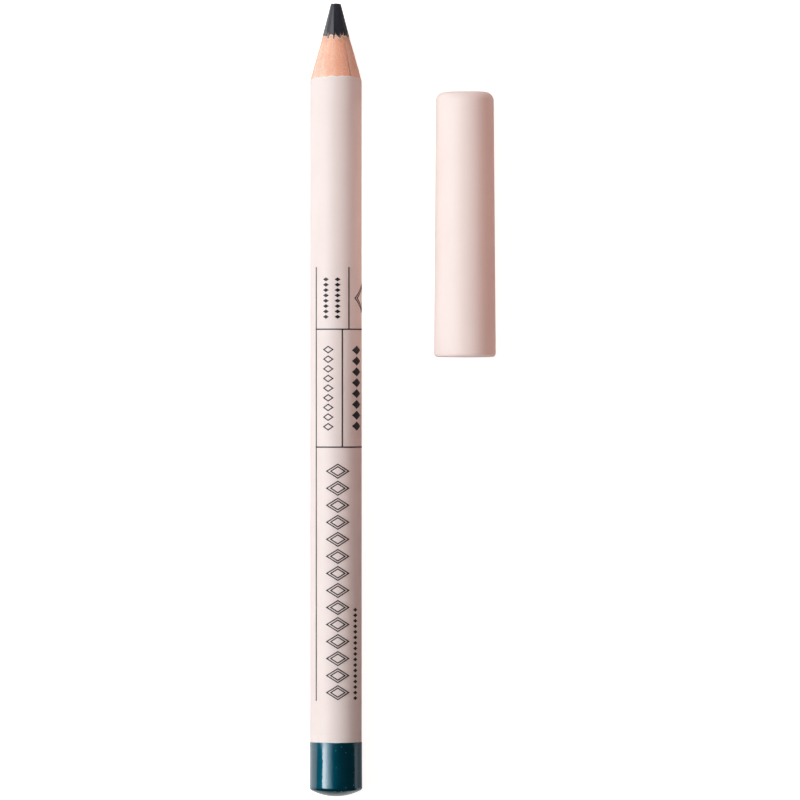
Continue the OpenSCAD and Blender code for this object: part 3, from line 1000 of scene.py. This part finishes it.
# %% One flat lozenge, and a row of it
row_inputs = {
    "Geometry": GEOMETRY,
    "Count": 8,
    "First": 0.02,
    "Pitch": 0.002,
    "Width": 0.002,
    "Length": 0.001,
    "Outer Share": 1.0,
    "Inner Share": 0.6,
    "Turn": 0.0,
    "Radius": 0.004,
    "Ink": 0.00003,
    "Smoothness": 3,
    "Finish": MATERIAL,
}
row_tree, given, out = new_group("lozenge row", row_inputs, "Geometry", GEOMETRY)
here = take(row_tree, "GeometryNodeInputPosition")
four_points = take(row_tree, "GeometryNodeMeshCircle", {"Vertices": 4, "Radius": 0.5})
outer_place = vec(row_tree, "SCALE", here, Scale=given["Outer Share"])
outer_edge = move(row_tree, four_points, Position=outer_place)
drawn_in = {"Mesh": outer_edge, "Offset Scale": 0.0}
stroke = put(row_tree, "GeometryNodeExtrudeMesh", drawn_in, mode="EDGES").outputs
share_in = calc(row_tree, "DIVIDE", given["Inner Share"], given["Outer Share"])
inner_place = vec(row_tree, "SCALE", here, Scale=share_in)
ring = move(row_tree, stroke["Mesh"], Selection=stroke["Top"], Position=inner_place)
size = xyz(row_tree, X=given["Width"], Y=given["Length"], Z=1.0)
lozenge = move(row_tree, ring, Position=vec(row_tree, "MULTIPLY", here, size))
finer = {"Mesh": lozenge, "Level": given["Smoothness"]}
lozenge = weld(row_tree, take(row_tree, "GeometryNodeSubdivideMesh", finer))
line = {
    "Count": given["Count"],
    "Start Location": xyz(row_tree, Y=given["First"]),
    "Offset": xyz(row_tree, Y=given["Pitch"]),
}
line = take(row_tree, "GeometryNodeMeshLine", line, mode="OFFSET")
copies = {"Points": line, "Instance": lozenge}
copies = take(row_tree, "GeometryNodeInstanceOnPoints", copies)
flat_row = take(row_tree, "GeometryNodeRealizeInstances", {"Geometry": copies})

# %% The row wrapped round the barrel and inked
flat = split(row_tree, here)
lean = calc(row_tree, "ARCSINE", calc(row_tree, "DIVIDE", flat[0], given["Radius"]))
turned = calc(row_tree, "ADD", lean, given["Turn"])
sideways, upwards = (calc(row_tree, operation, turned) for operation in ("SINE", "COSINE"))
wrapped = xyz(
    row_tree,
    X=calc(row_tree, "MULTIPLY_ADD", given["Radius"], sideways, AXIS_X * MM),
    Y=calc(row_tree, "ADD", flat[1], BUTT_Y * MM),
    Z=calc(row_tree, "MULTIPLY_ADD", given["Radius"], upwards, AXIS_Z * MM),
)
foot_of_film = move(row_tree, flat_row, Position=wrapped)
thicker = {"Mesh": foot_of_film, "Offset Scale": 0.0, "Individual": False}
film = put(row_tree, "GeometryNodeExtrudeMesh", thicker, mode="FACES").outputs
from_axis = vec(row_tree, "SUBTRACT", here, (AXIS_X * MM, 0, AXIS_Z * MM))
outwards = vec(row_tree, "NORMALIZE", vec(row_tree, "MULTIPLY", from_axis, (1, 0, 1)))
rise = vec(row_tree, "SCALE", outwards, Scale=given["Ink"])
top = move(row_tree, film["Mesh"], Selection=film["Top"], Offset=rise)
flipped = take(row_tree, "GeometryNodeFlipFaces", {"Mesh": foot_of_film})
both = put(row_tree, "GeometryNodeJoinGeometry")
for part in (top, flipped):
    row_tree.links.new(part, both.inputs[0])
end_tree(row_tree, weld(row_tree, both.outputs[0]), given["Finish"], out)


# %% Running a tree
def grow(tree, values, start=None):
    """Runs a Geometry Nodes tree on a start mesh and gives the plain mesh that it makes."""
    stand_in = show("stand_in", start or bpy.data.meshes.new("start"))
    modifier = stand_in.modifiers.new("tree", "NODES")
    modifier.node_group = tree
    for item in tree.interface.items_tree:
        if item.in_out == "INPUT" and item.name in values:
            modifier[item.identifier] = values[item.name]
    depsgraph = bpy.context.evaluated_depsgraph_get()
    grown = bpy.data.meshes.new_from_object(stand_in.evaluated_get(depsgraph))
    stand_in.modifiers.remove(modifier)
    bpy.data.objects.remove(stand_in)
    return grown


# %% [markdown]
# The rows have the same places and counts as in the part's source. A stroke
# is the same width on every lozenge, so the share by which an edge moves in
# depends on the lozenge's size. Where two outlines nest, they are two rows.

# %% Lozenge rows
STROKE_W = 0.17
STROKE_GAP = 0.15
MOTIF_GAP = 0.2
PANEL_MARGIN = 2.4
OPEN_MARGIN = 1.5
FINE, OUTLINED, SOLID, NESTED, MARK = (0.95, 0.62), (1.75, 1.2), (2.1, 1.4), (3.7, 2.35), 4.6
NESTED_TURN, FINE_TURN, SOLID_TURN, MARK_TURN = 4.8, 49, 54, 81
FINE_ROW_L = 14.5


def share_after_inset(width, length, by):
    """How much of a lozenge is left when its sides move in by a distance."""
    return max(0.0, 1 - 2 * by * math.hypot(width, length) / (width * length))


def lozenge_row(turn, low, high, width, length, inset=0.0, stroke=None):
    """A row spread evenly between two heights, outlined if it has a stroke."""
    count = max(1, math.floor((high - low) / (length + MOTIF_GAP)))
    pitch = (high - low) / count
    inner = 0.0 if stroke is None else share_after_inset(width, length, inset + stroke)
    values = {
        "Count": count,
        "First": MM * (low + pitch / 2),
        "Pitch": MM * pitch,
        "Width": MM * width,
        "Length": MM * length,
        "Outer Share": share_after_inset(width, length, inset),
        "Inner Share": inner,
        "Turn": math.radians(turn),
        "Radius": MM * BARREL_R,
        "Ink": MM * INK_T,
        "Finish": ink,
    }
    return grow(row_tree, values)


def nested_row(*where):
    """Outlined lozenges with a smaller outline inside each."""
    return [lozenge_row(*where, inset, STROKE_W) for inset in (0, STROKE_W + STROKE_GAP)]


middle = (MIDDLE_Z + PANEL_MARGIN, OPEN_Z - PANEL_MARGIN)
open_panel = (OPEN_Z + OPEN_MARGIN, PRINT_END_Z - OPEN_MARGIN)
mark_z = (OPEN_Z + PRINT_END_Z) / 2
column_step = (OPEN_RULE - LEFT_RULE) / 3

rows = nested_row(NESTED_TURN, PRINT_Z, MIDDLE_Z - PANEL_MARGIN, *NESTED)
rows.append(lozenge_row(FINE_TURN, PRINT_Z, PRINT_Z + FINE_ROW_L, *FINE))
rows.append(lozenge_row((LEFT_RULE + MIDDLE_RULE) / 2, *middle, *OUTLINED, stroke=STROKE_W))
rows.append(lozenge_row(SOLID_TURN, *middle, *SOLID))
rows += [lozenge_row(LEFT_RULE + i * column_step, *open_panel, *FINE) for i in (1, 2)]
rows += nested_row(MARK_TURN, mark_z - MARK / 2, mark_z + MARK / 2, MARK, MARK)
ornament = make_piece("printed_ornament", ink, *rows, sharp=30)
dress(ornament, "ink", "printed_lozenges")

# %% [markdown]
# ## Loose fibres on the cone
# A dull blade leaves the wood a little furry. Short slivers lie along the
# cone, each fixed at its lower end and lifted at its tip. Geometry Nodes
# scatter them over the cone's own surface with a fixed seed, and turn each
# one along the grain.

# %% Fibre tree
fibre_inputs = {
    "Geometry": GEOMETRY,
    "Density": 8e6,
    "Length": 0.0006,
    "Thickness": 0.000032,
    "Lift": 0.13,
    "Seed": 3,
    "Finish": MATERIAL,
}
fibre_tree, given, out = new_group("fibres on the cone", fibre_inputs, "Geometry", GEOMETRY)
scatter = {"Mesh": given["Geometry"], "Density": given["Density"], "Seed": given["Seed"]}
places = put(fibre_tree, "GeometryNodeDistributePointsOnFaces", scatter).outputs
spindle = {
    "Vertices": 4,
    "Side Segments": 2,
    "Radius Top": 0.0,
    "Radius Bottom": given["Thickness"],
    "Depth": given["Length"],
}
spindle = take(fibre_tree, "GeometryNodeMeshCone", spindle, fill_type="TRIANGLE_FAN")


def draw(low, high, seed):
    """A random number for each fibre."""
    inputs = {2: low, 3: high, "Seed": seed}
    return put(fibre_tree, "FunctionNodeRandomValue", inputs, data_type="FLOAT").outputs[1]


normal = places["Normal"]
lift = calc(fibre_tree, "MULTIPLY", given["Lift"], draw(0.1, 1.0, 1))
grain_way = xyz(fibre_tree, X=draw(-0.08, 0.08, 2), Y=1.0)
off_cone = vec(fibre_tree, "PROJECT", grain_way, normal)
along_cone = vec(fibre_tree, "SUBTRACT", grain_way, off_cone)
way = vec(fibre_tree, "ADD", along_cone, vec(fibre_tree, "SCALE", normal, Scale=lift))
width = draw(0.6, 1.4, 5)
fibres_on = {
    "Points": places["Points"],
    "Instance": spindle,
    "Rotation": take(fibre_tree, "FunctionNodeAlignRotationToVector", {"Vector": way}, axis="Z"),
    "Scale": xyz(fibre_tree, X=width, Y=width, Z=draw(0.35, 1.3, 4)),
}
fibres_on = take(fibre_tree, "GeometryNodeInstanceOnPoints", fibres_on)
end_tree(fibre_tree, fibres_on, given["Finish"], out)

# %% Fibres
FIBRE_DENSITY = 9e6
FIBRE_SEED = 3
fibre_finish, tree, shader = new_finish("fibre_cedar", Roughness=0.7)
tone = effect(tree, clouds, Cloud_Size=0.0012)
colour = paint(tree, (0.95, 0.74, 0.60), (tone, (0.90, 0.58, 0.42)))
cover(tree, shader, Base_Color=colour)

cone_r = foot + (collar.min() - foot) * np.linspace(0.04, 0.99, 12)[:, None]
patch_points = [on_pencil(r - 0.012, turns, cone_height(r)) for r in cone_r]
patch_faces = [[a, d, c, b] for a, b, c, d in grid_faces(len(cone_r), ROUND)]
cone_patch = new_mesh("cone_patch", patch_points, patch_faces)
fibre_values = {"Density": FIBRE_DENSITY, "Seed": FIBRE_SEED, "Finish": fibre_finish}
fibres = make_piece("cone_fibres", fibre_finish, grow(fibre_tree, fibre_values, cone_patch))
dress(fibres, "cedar")

# %% [markdown]
# ## The cap
# The cap is moulded in one piece. Its side leans in by half a degree so that
# it leaves the mould, its edges are rounded, and its closed end has the small
# mark of the mould's gate. Inside are the bore, a shoulder that stops the
# pencil, a chamber round the point, and six low ribs that grip the barrel.
#
# The whole cap follows one rule: a profile is turned about an axis, and the
# ribs pull the bore's radius in at even turns. So a Geometry Nodes lathe makes
# it. The profile is a chain of points that carry how high a rib stands there,
# and the tree wraps a grid round the axis by looking its radii up in it.

# %% Sizes of the cap
CAP_BESIDE, CAP_ALONG = 19.95, 67.8
CAP_L, CAP_MOUTH_R, CAP_DRAFT = 41.195, 4.8, math.radians(0.45)
CAP_END_R, CAP_LIP_R, CAP_MOUTH_BEVEL = 1.4, 0.6, 0.06
CAP_WORN = 0.15
GATE_R, GATE_DEPTH = 0.55, 0.12
CAP_BORE_R, CAP_BORE_L = 4.1, 24
CAP_STOP_Z, CAP_ROOF_Z = 24.5, 40.095
CAP_CHAMBER_R, CAP_CHAMBER_DRAFT, CAP_CHAMBER_ROUND = 3.6, math.radians(0.8), 0.8
CAP_RIBS, CAP_RIB_W, CAP_RIB_CREST, CAP_RIB_TURN = 6, 0.5, 3.98, 7.5
CAP_RIB_START, CAP_RIB_LEAD = 3, 1.5
cap_low, cap_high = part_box("cap")
print(f"the cap lies from y {cap_low.y / MM:.3f} to {cap_high.y / MM:.3f} mm")


def arc(centre, radius, start, stop, steps):
    """Points of an arc in the profile, from one angle to another in degrees."""
    angles = np.radians(np.linspace(start, stop, steps))
    return [(centre[0] + radius * math.cos(a), centre[1] + radius * math.sin(a)) for a in angles]


def side_at(z):
    """Radius of the cap's drafted side at a height above its mouth."""
    return CAP_MOUTH_R - z * math.tan(CAP_DRAFT)


def chamber_at(z):
    return CAP_CHAMBER_R - (z - CAP_STOP_Z) * math.tan(CAP_CHAMBER_DRAFT)


# %% Profile of the cap
end_z, lip_top = CAP_L - CAP_END_R, CAP_WORN + CAP_LIP_R
end_c, lip_c = (side_at(end_z) - CAP_END_R, end_z), (side_at(lip_top) - CAP_LIP_R, lip_top)
roof_z = CAP_ROOF_Z - CAP_CHAMBER_ROUND
roof_c = (chamber_at(roof_z) - CAP_CHAMBER_ROUND, roof_z)
lip_r = side_at(lip_top)

outside = [(0, CAP_L - GATE_DEPTH), (GATE_R * 0.5, CAP_L - GATE_DEPTH)]
outside += [(GATE_R, CAP_L - 0.1), (GATE_R + 0.1, CAP_L)]
outside += [(r, CAP_L) for r in np.linspace(GATE_R + 0.6, end_c[0] - 0.2, 3)]
outside += arc(end_c, CAP_END_R, 90, 0, 17)
outside += [*np.linspace((side_at(end_z), end_z), (lip_r, lip_top), 16)[1:-1]]
outside += [(lip_r - 0.002, lip_top + 0.08), (lip_r - 0.03, lip_top + 0.04)]
outside += arc(lip_c, CAP_LIP_R, 0, -90, 13)
outside += [(CAP_BORE_R + CAP_MOUTH_BEVEL, CAP_WORN)]
bore_z = [CAP_WORN + CAP_MOUTH_BEVEL, 1.5, CAP_RIB_START, CAP_RIB_START + CAP_RIB_LEAD]
bore_z = np.array([*bore_z, *np.linspace(6, CAP_BORE_L, 10)])
chamber = [(CAP_BORE_R - 0.12, CAP_BORE_L + 0.12), (CAP_CHAMBER_R, CAP_STOP_Z)]
chamber += [(chamber_at(z), z) for z in np.linspace(CAP_STOP_Z, roof_z, 9)[1:-1]]
chamber += arc(roof_c, CAP_CHAMBER_ROUND, 0, 90, 9)
chamber += [(roof_c[0] * 0.5, CAP_ROOF_Z), (0, CAP_ROOF_Z)]

rib_rise = np.clip((bore_z - CAP_RIB_START) / CAP_RIB_LEAD, 0, 1) * (CAP_BORE_R - CAP_RIB_CREST)
rib_height = [0] * len(outside) + [*rib_rise] + [0] * len(chamber)
profile = [(r, z, 0) for r, z in [*outside, *((CAP_BORE_R, z) for z in bore_z), *chamber]]
profile_marks = {"rib_height": MM * np.array(rib_height)}
profile_mesh = new_mesh("cap_profile", MM * np.array(profile), (), profile_marks)
print(f"the profile has {len(profile)} points, {np.count_nonzero(rib_height)} of them on the ribs")

# %% Grid and turn of the lathe
lathe_inputs = {
    "Geometry": GEOMETRY,
    "Segments": 240,
    "Ribs": 6,
    "Rib Width": 0.0005,
    "First Rib": 0.0,
    "Lean": 0.0,
    "Place": VECTOR,
    "Finish": MATERIAL,
}
lathe, given, out = new_group("lathe with ribs", lathe_inputs, "Geometry", GEOMETRY)
chain = {"Geometry": given["Geometry"]}
count = take(lathe, "GeometryNodeAttributeDomainSize", chain, component="MESH")
columns = calc(lathe, "ADD", given["Segments"], 1.0)
sheet = {"Size X": 1.0, "Size Y": 1.0, "Vertices X": columns, "Vertices Y": count}
sheet = take(lathe, "GeometryNodeMeshGrid", sheet)
here = take(lathe, "GeometryNodeInputPosition")
on_sheet = split(lathe, here)
turn = calc(lathe, "MULTIPLY", calc(lathe, "ADD", on_sheet[0], 0.5), 2 * math.pi)
last = calc(lathe, "SUBTRACT", count, 1.0)
row_place = calc(lathe, "MULTIPLY", calc(lathe, "ADD", on_sheet[1], 0.5), last)
row_number = calc(lathe, "ROUND", row_place)


def look_up(value, data_type):
    """The profile's value at this point's row."""
    node = put(lathe, "GeometryNodeSampleIndex", data_type=data_type, domain="POINT")
    for label, source in (("Geometry", given["Geometry"]), ("Value", value), ("Index", row_number)):
        lathe.links.new(source, node.inputs[label])
    return node.outputs[0]


# %% Ribs and skin of the lathe
profile_r, profile_z = split(lathe, look_up(here, "FLOAT_VECTOR"))[:2]
stands = {"Name": "rib_height"}
stands = look_up(take(lathe, "GeometryNodeInputNamedAttribute", stands, data_type="FLOAT"), "FLOAT")
pitch = calc(lathe, "DIVIDE", 2 * math.pi, given["Ribs"])
from_first = calc(lathe, "SUBTRACT", turn, given["First Rib"])
rib_number = calc(lathe, "ROUND", calc(lathe, "DIVIDE", from_first, pitch))
off_rib = calc(lathe, "SUBTRACT", from_first, calc(lathe, "MULTIPLY", rib_number, pitch))
off_rib = calc(lathe, "MULTIPLY", calc(lathe, "ABSOLUTE", off_rib), profile_r)
on_rib = calc(lathe, "LESS_THAN", off_rib, calc(lathe, "MULTIPLY", given["Rib Width"], 0.5))
radius = calc(lathe, "SUBTRACT", profile_r, calc(lathe, "MULTIPLY", stands, on_rib))
turned_place = xyz(
    lathe,
    X=calc(lathe, "MULTIPLY", radius, calc(lathe, "SINE", turn)),
    Y=profile_z,
    Z=calc(lathe, "MULTIPLY", radius, calc(lathe, "COSINE", turn)),
)
closed = weld(lathe, move(lathe, sheet, Position=turned_place))
leaned = xyz(lathe, X=given["Lean"])
placed = {"Geometry": closed, "Translation": given["Place"], "Rotation": leaned}
end_tree(lathe, take(lathe, "GeometryNodeTransform", placed), given["Finish"], out)

# %% [markdown]
# The cap's plastic matches the lacquer but is a little pinker. It has the
# soft sheen of a finely etched mould, with very faint swells where it shrank.

# %% Cap finish
cap_plastic = blush_finish(
    "blush_plastic",
    [(0.915, 0.815, 0.79), (0.925, 0.83, 0.805), (0.74, 0.60, 0.56)],
    cloud_size=0.009,
    dust={"Spacing": 0.003, "Speck_Size": 0.025, "Share": 0.2},
    roughness=(0.44, 0.5),
    peel={"Swell_Size": 0.006, "Texture_Size": 0.00022, "Texture_Share": 0.06},
    depth=0.016,
    Roughness=0.45,
    IOR=1.48,
    Specular_IOR_Level=0.22,
)

# %% Cap
cap_place = (AXIS_X + CAP_BESIDE, BUTT_Y + CAP_ALONG, CAP_MOUTH_R * math.cos(CAP_DRAFT))
cap_values = {
    "Segments": 240,
    "Ribs": CAP_RIBS,
    "Rib Width": MM * CAP_RIB_W,
    "First Rib": math.radians(CAP_RIB_TURN + 90),
    "Lean": -CAP_DRAFT,
    "Place": MM * np.array(cap_place),
    "Finish": cap_plastic,
}
cap = make_piece("moulded_cap", cap_plastic, grow(lathe, cap_values, profile_mesh), sharp=35)
dress(cap, "cap_plastic", "cap")

# %% [markdown]
# ## Floor
# The floor is white to the camera, by its own glow, and keeps the shadows.
# The light that it throws on the pencil comes from its blush colour. To rays
# that a glossy skin mirrors it is black with a glow of its own, because a
# studio table is lit unevenly: bright left of the pencil, dark in its shadow,
# and fairly bright again further right and beyond the butt end.

# %% Floor
FLOOR_HALF = 1.5
FLOOR_GLOW = 0.86
MIRRORED_LIT, MIRRORED_SHADED, MIRRORED_FAR, MIRRORED_BEYOND = 1.4, 0.22, 0.7, 0.74
# Where one level turns into the next, in mm right of the axis or above the butt end.
SHADE_TO_FAR, DARK_TO_BEYOND, PAST_THE_BUTT = (9, 30), (-10.5, -3.5), (-1, 0.5)


def emptied(owner):
    """The tree of a material or a world, with no nodes."""
    owner.use_nodes = True
    owner.node_tree.nodes.clear()
    return owner.node_tree


floor_corners = [(-1, -1, 0), (1, -1, 0), (1, 1, 0), (-1, 1, 0)]
floor_mesh = new_mesh("floor", FLOOR_HALF * np.array(floor_corners), [(0, 1, 2, 3)])
paper = bpy.data.materials.new("white_ground")
tree = emptied(paper)
path = put(tree, "ShaderNodeLightPath").outputs
mirrored = calc(tree, "MAXIMUM", path["Is Glossy Ray"], path["Is Transmission Ray"])
paper_colour = paint(tree, (0.68, 0.60, 0.575), (mirrored, (0, 0, 0)))
matte = take(tree, "ShaderNodeBsdfDiffuse", {"Color": paper_colour})
right_side = between(tree, across(tree, *SHADE_TO_FAR), MIRRORED_SHADED, MIRRORED_FAR)
beside = between(tree, across(tree, -BARREL_R, BARREL_R), MIRRORED_LIT, right_side)
beyond = between(tree, along(tree, *DARK_TO_BEYOND), 0.0, MIRRORED_BEYOND)
table = between(tree, along(tree, *PAST_THE_BUTT), beyond, beside)
seen = calc(tree, "MAXIMUM", path["Is Camera Ray"], calc(tree, "MULTIPLY", mirrored, table))
level = calc(tree, "MULTIPLY", seen, FLOOR_GLOW)
glow = take(tree, "ShaderNodeEmission", {"Color": (1, 1, 1, 1), "Strength": level})
lit = take(tree, "ShaderNodeAddShader", {0: matte, 1: glow})
put(tree, "ShaderNodeOutputMaterial", {"Surface": lit})
floor_mesh.materials.append(paper)
show("floor", floor_mesh)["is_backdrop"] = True
print(f"floor: {2 * FLOOR_HALF} m wide, {len(tree.nodes)} nodes in its finish")

# %% [markdown]
# ## Light
# The photograph has one large soft light from the left. It is long, so its
# mirror image is a straight stripe in the dip. Here it is a glowing cloth
# bent about the pencil, from 10 to 60 degrees left of straight up. It is
# brightest near its low edge and fades upwards, which puts the stripe left
# of the middle and lets it fade to the right. A mesh that glows shows in
# glossy skins exactly as it is shaped, so it is made that way.

# %% Key light
KEY_FAR = 0.7
KEY_LOW, KEY_HIGH = math.radians(-60.5), math.radians(-10)
KEY_STEPS = 27
KEY_POWER = 8.7
# Each pair is a place along the cloth in metres and its level there.
KEY_ENDS = [(-0.19, 1.0), (0.19, 1.0), (0.25, 0.6), (0.62, 0.6)]
# Each pair is a share of the way up and the level there.
KEY_FADE = [(0.0, 0.95), (0.19, 1.0), (0.37, 0.66), (0.55, 0.32), (0.72, 0.15), (0.89, 0.03), (1.0, 0.0)]

panel_points = [
    (AXIS_X * MM + KEY_FAR * math.sin(t), y, AXIS_Z * MM + KEY_FAR * math.cos(t))
    for t in np.linspace(KEY_LOW, KEY_HIGH, KEY_STEPS)
    for y, level in KEY_ENDS
]
panel_marks = {
    "fade": np.repeat(np.linspace(0, 1, KEY_STEPS), len(KEY_ENDS)),
    "level": np.tile([level for y, level in KEY_ENDS], KEY_STEPS),
}
panel_faces = grid_faces(KEY_STEPS, len(KEY_ENDS), columns_close=False)
panel_mesh = new_mesh("key_panel", panel_points, panel_faces, panel_marks)
panel = show("key_panel", panel_mesh)
panel.visible_camera = False

cloth = bpy.data.materials.new("diffuser_cloth")
tree = emptied(cloth)
ramp = put(tree, "ShaderNodeValToRGB", {"Fac": mark(tree, "fade")})
stops = ramp.color_ramp.elements
stops[0].position, stops[1].position = KEY_FADE[0][0], KEY_FADE[-1][0]
for place, level in KEY_FADE[1:-1]:
    stops.new(place)
for stop, (place, level) in zip(stops, KEY_FADE):
    stop.color = (level, level, level, 1)
power = calc(tree, "MULTIPLY", mark(tree, "level"), KEY_POWER)
glow = take(tree, "ShaderNodeEmission", {"Color": ramp.outputs["Color"], "Strength": power})
put(tree, "ShaderNodeOutputMaterial", {"Surface": glow})
panel_mesh.materials.append(cloth)
panel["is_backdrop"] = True
print(f"key panel: {len(panel_faces)} faces, {KEY_FAR} m from the pencil's axis")

# %% [markdown]
# Weak lamps fill what the key leaves dark: one from above, one low past the
# cap's closed end, one low in front of the butt end and the cap's mouth, and
# a small warm one beside the cap's far side. A thin strip on the floor stands
# for the warm light that the cap throws on the pencil's right rim. None of
# them shows in a mirror image. The room itself adds a very faint warm light
# from all sides, half as strong where a skin mirrors it.

# %% Soft lights
def soft_light(name, size, power, colour, place, target):
    """A panel of light, in metres and watts, that shows in no mirror image."""
    data = bpy.data.lights.new(name, "AREA")
    data.shape = "RECTANGLE"
    data.size, data.size_y = size
    data.energy, data.color = power, colour
    light = show(name, data)
    light.location = place
    light.rotation_euler = (Vector(target) - light.location).to_track_quat("-Z", "Y").to_euler()
    light.visible_glossy = light.visible_camera = False
    print(f"{name}: {power} W from {light.location.length:.2f} m away")


CEILING, WARM, GLOW = (1.0, 0.85, 0.80), (1.0, 0.36, 0.24), (1.0, 0.52, 0.30)
soft_light("top_soft", (0.5, 0.5), 2.0, CEILING, (-0.12, 0.28, 0.78), (0, 0, 0))
soft_light("end_soft", (0.2, 0.2), 0.52, CEILING, (0.08, 0.55, 0.09), (0, 0.04, 0))
soft_light("front_soft", (0.4, 0.4), 1.8, CEILING, (0.0, -0.6, 0.07), (0, 0, 0))
soft_light("warm_fill", (0.05, 0.05), 0.016, WARM, (0.09, 0.03, 0.042), (0, 0.03, 0))
soft_light("under_glow", (0.041, 0.003), 0.0007, GLOW, (0.001, 0.027, 0.0005), (-0.01, 0.027, 0.004))

# %% Room light
ROOM = (1.0, 0.91, 0.87)
ROOM_LEVEL, ROOM_MIRRORED = 0.02, 0.01
world = bpy.data.worlds.new("studio")
bpy.context.scene.world = world
tree = emptied(world)
path = put(tree, "ShaderNodeLightPath").outputs
strength = between(tree, path["Is Glossy Ray"], ROOM_LEVEL, ROOM_MIRRORED)
ground = take(tree, "ShaderNodeBackground", {"Color": (*ROOM, 1), "Strength": strength})
put(tree, "ShaderNodeOutputWorld", {"Surface": ground})

bpy.context.scene.view_settings.view_transform = "Standard"
print(f"room light: {ROOM_LEVEL}, mirrored {ROOM_MIRRORED}")

# %% [markdown]
# ## The finished model
# The boxes of the CAD model and of the finished pieces are measured and printed.
# The pieces may not reach past the CAD model, so the boxes of both are measured.

# %% Size of the finished model
visual_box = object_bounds()
for label, box in (("CAD", cad_box), ("visual", visual_box)):
    print(label, [[round(v / MM, 3) for v in corner] for corner in box])
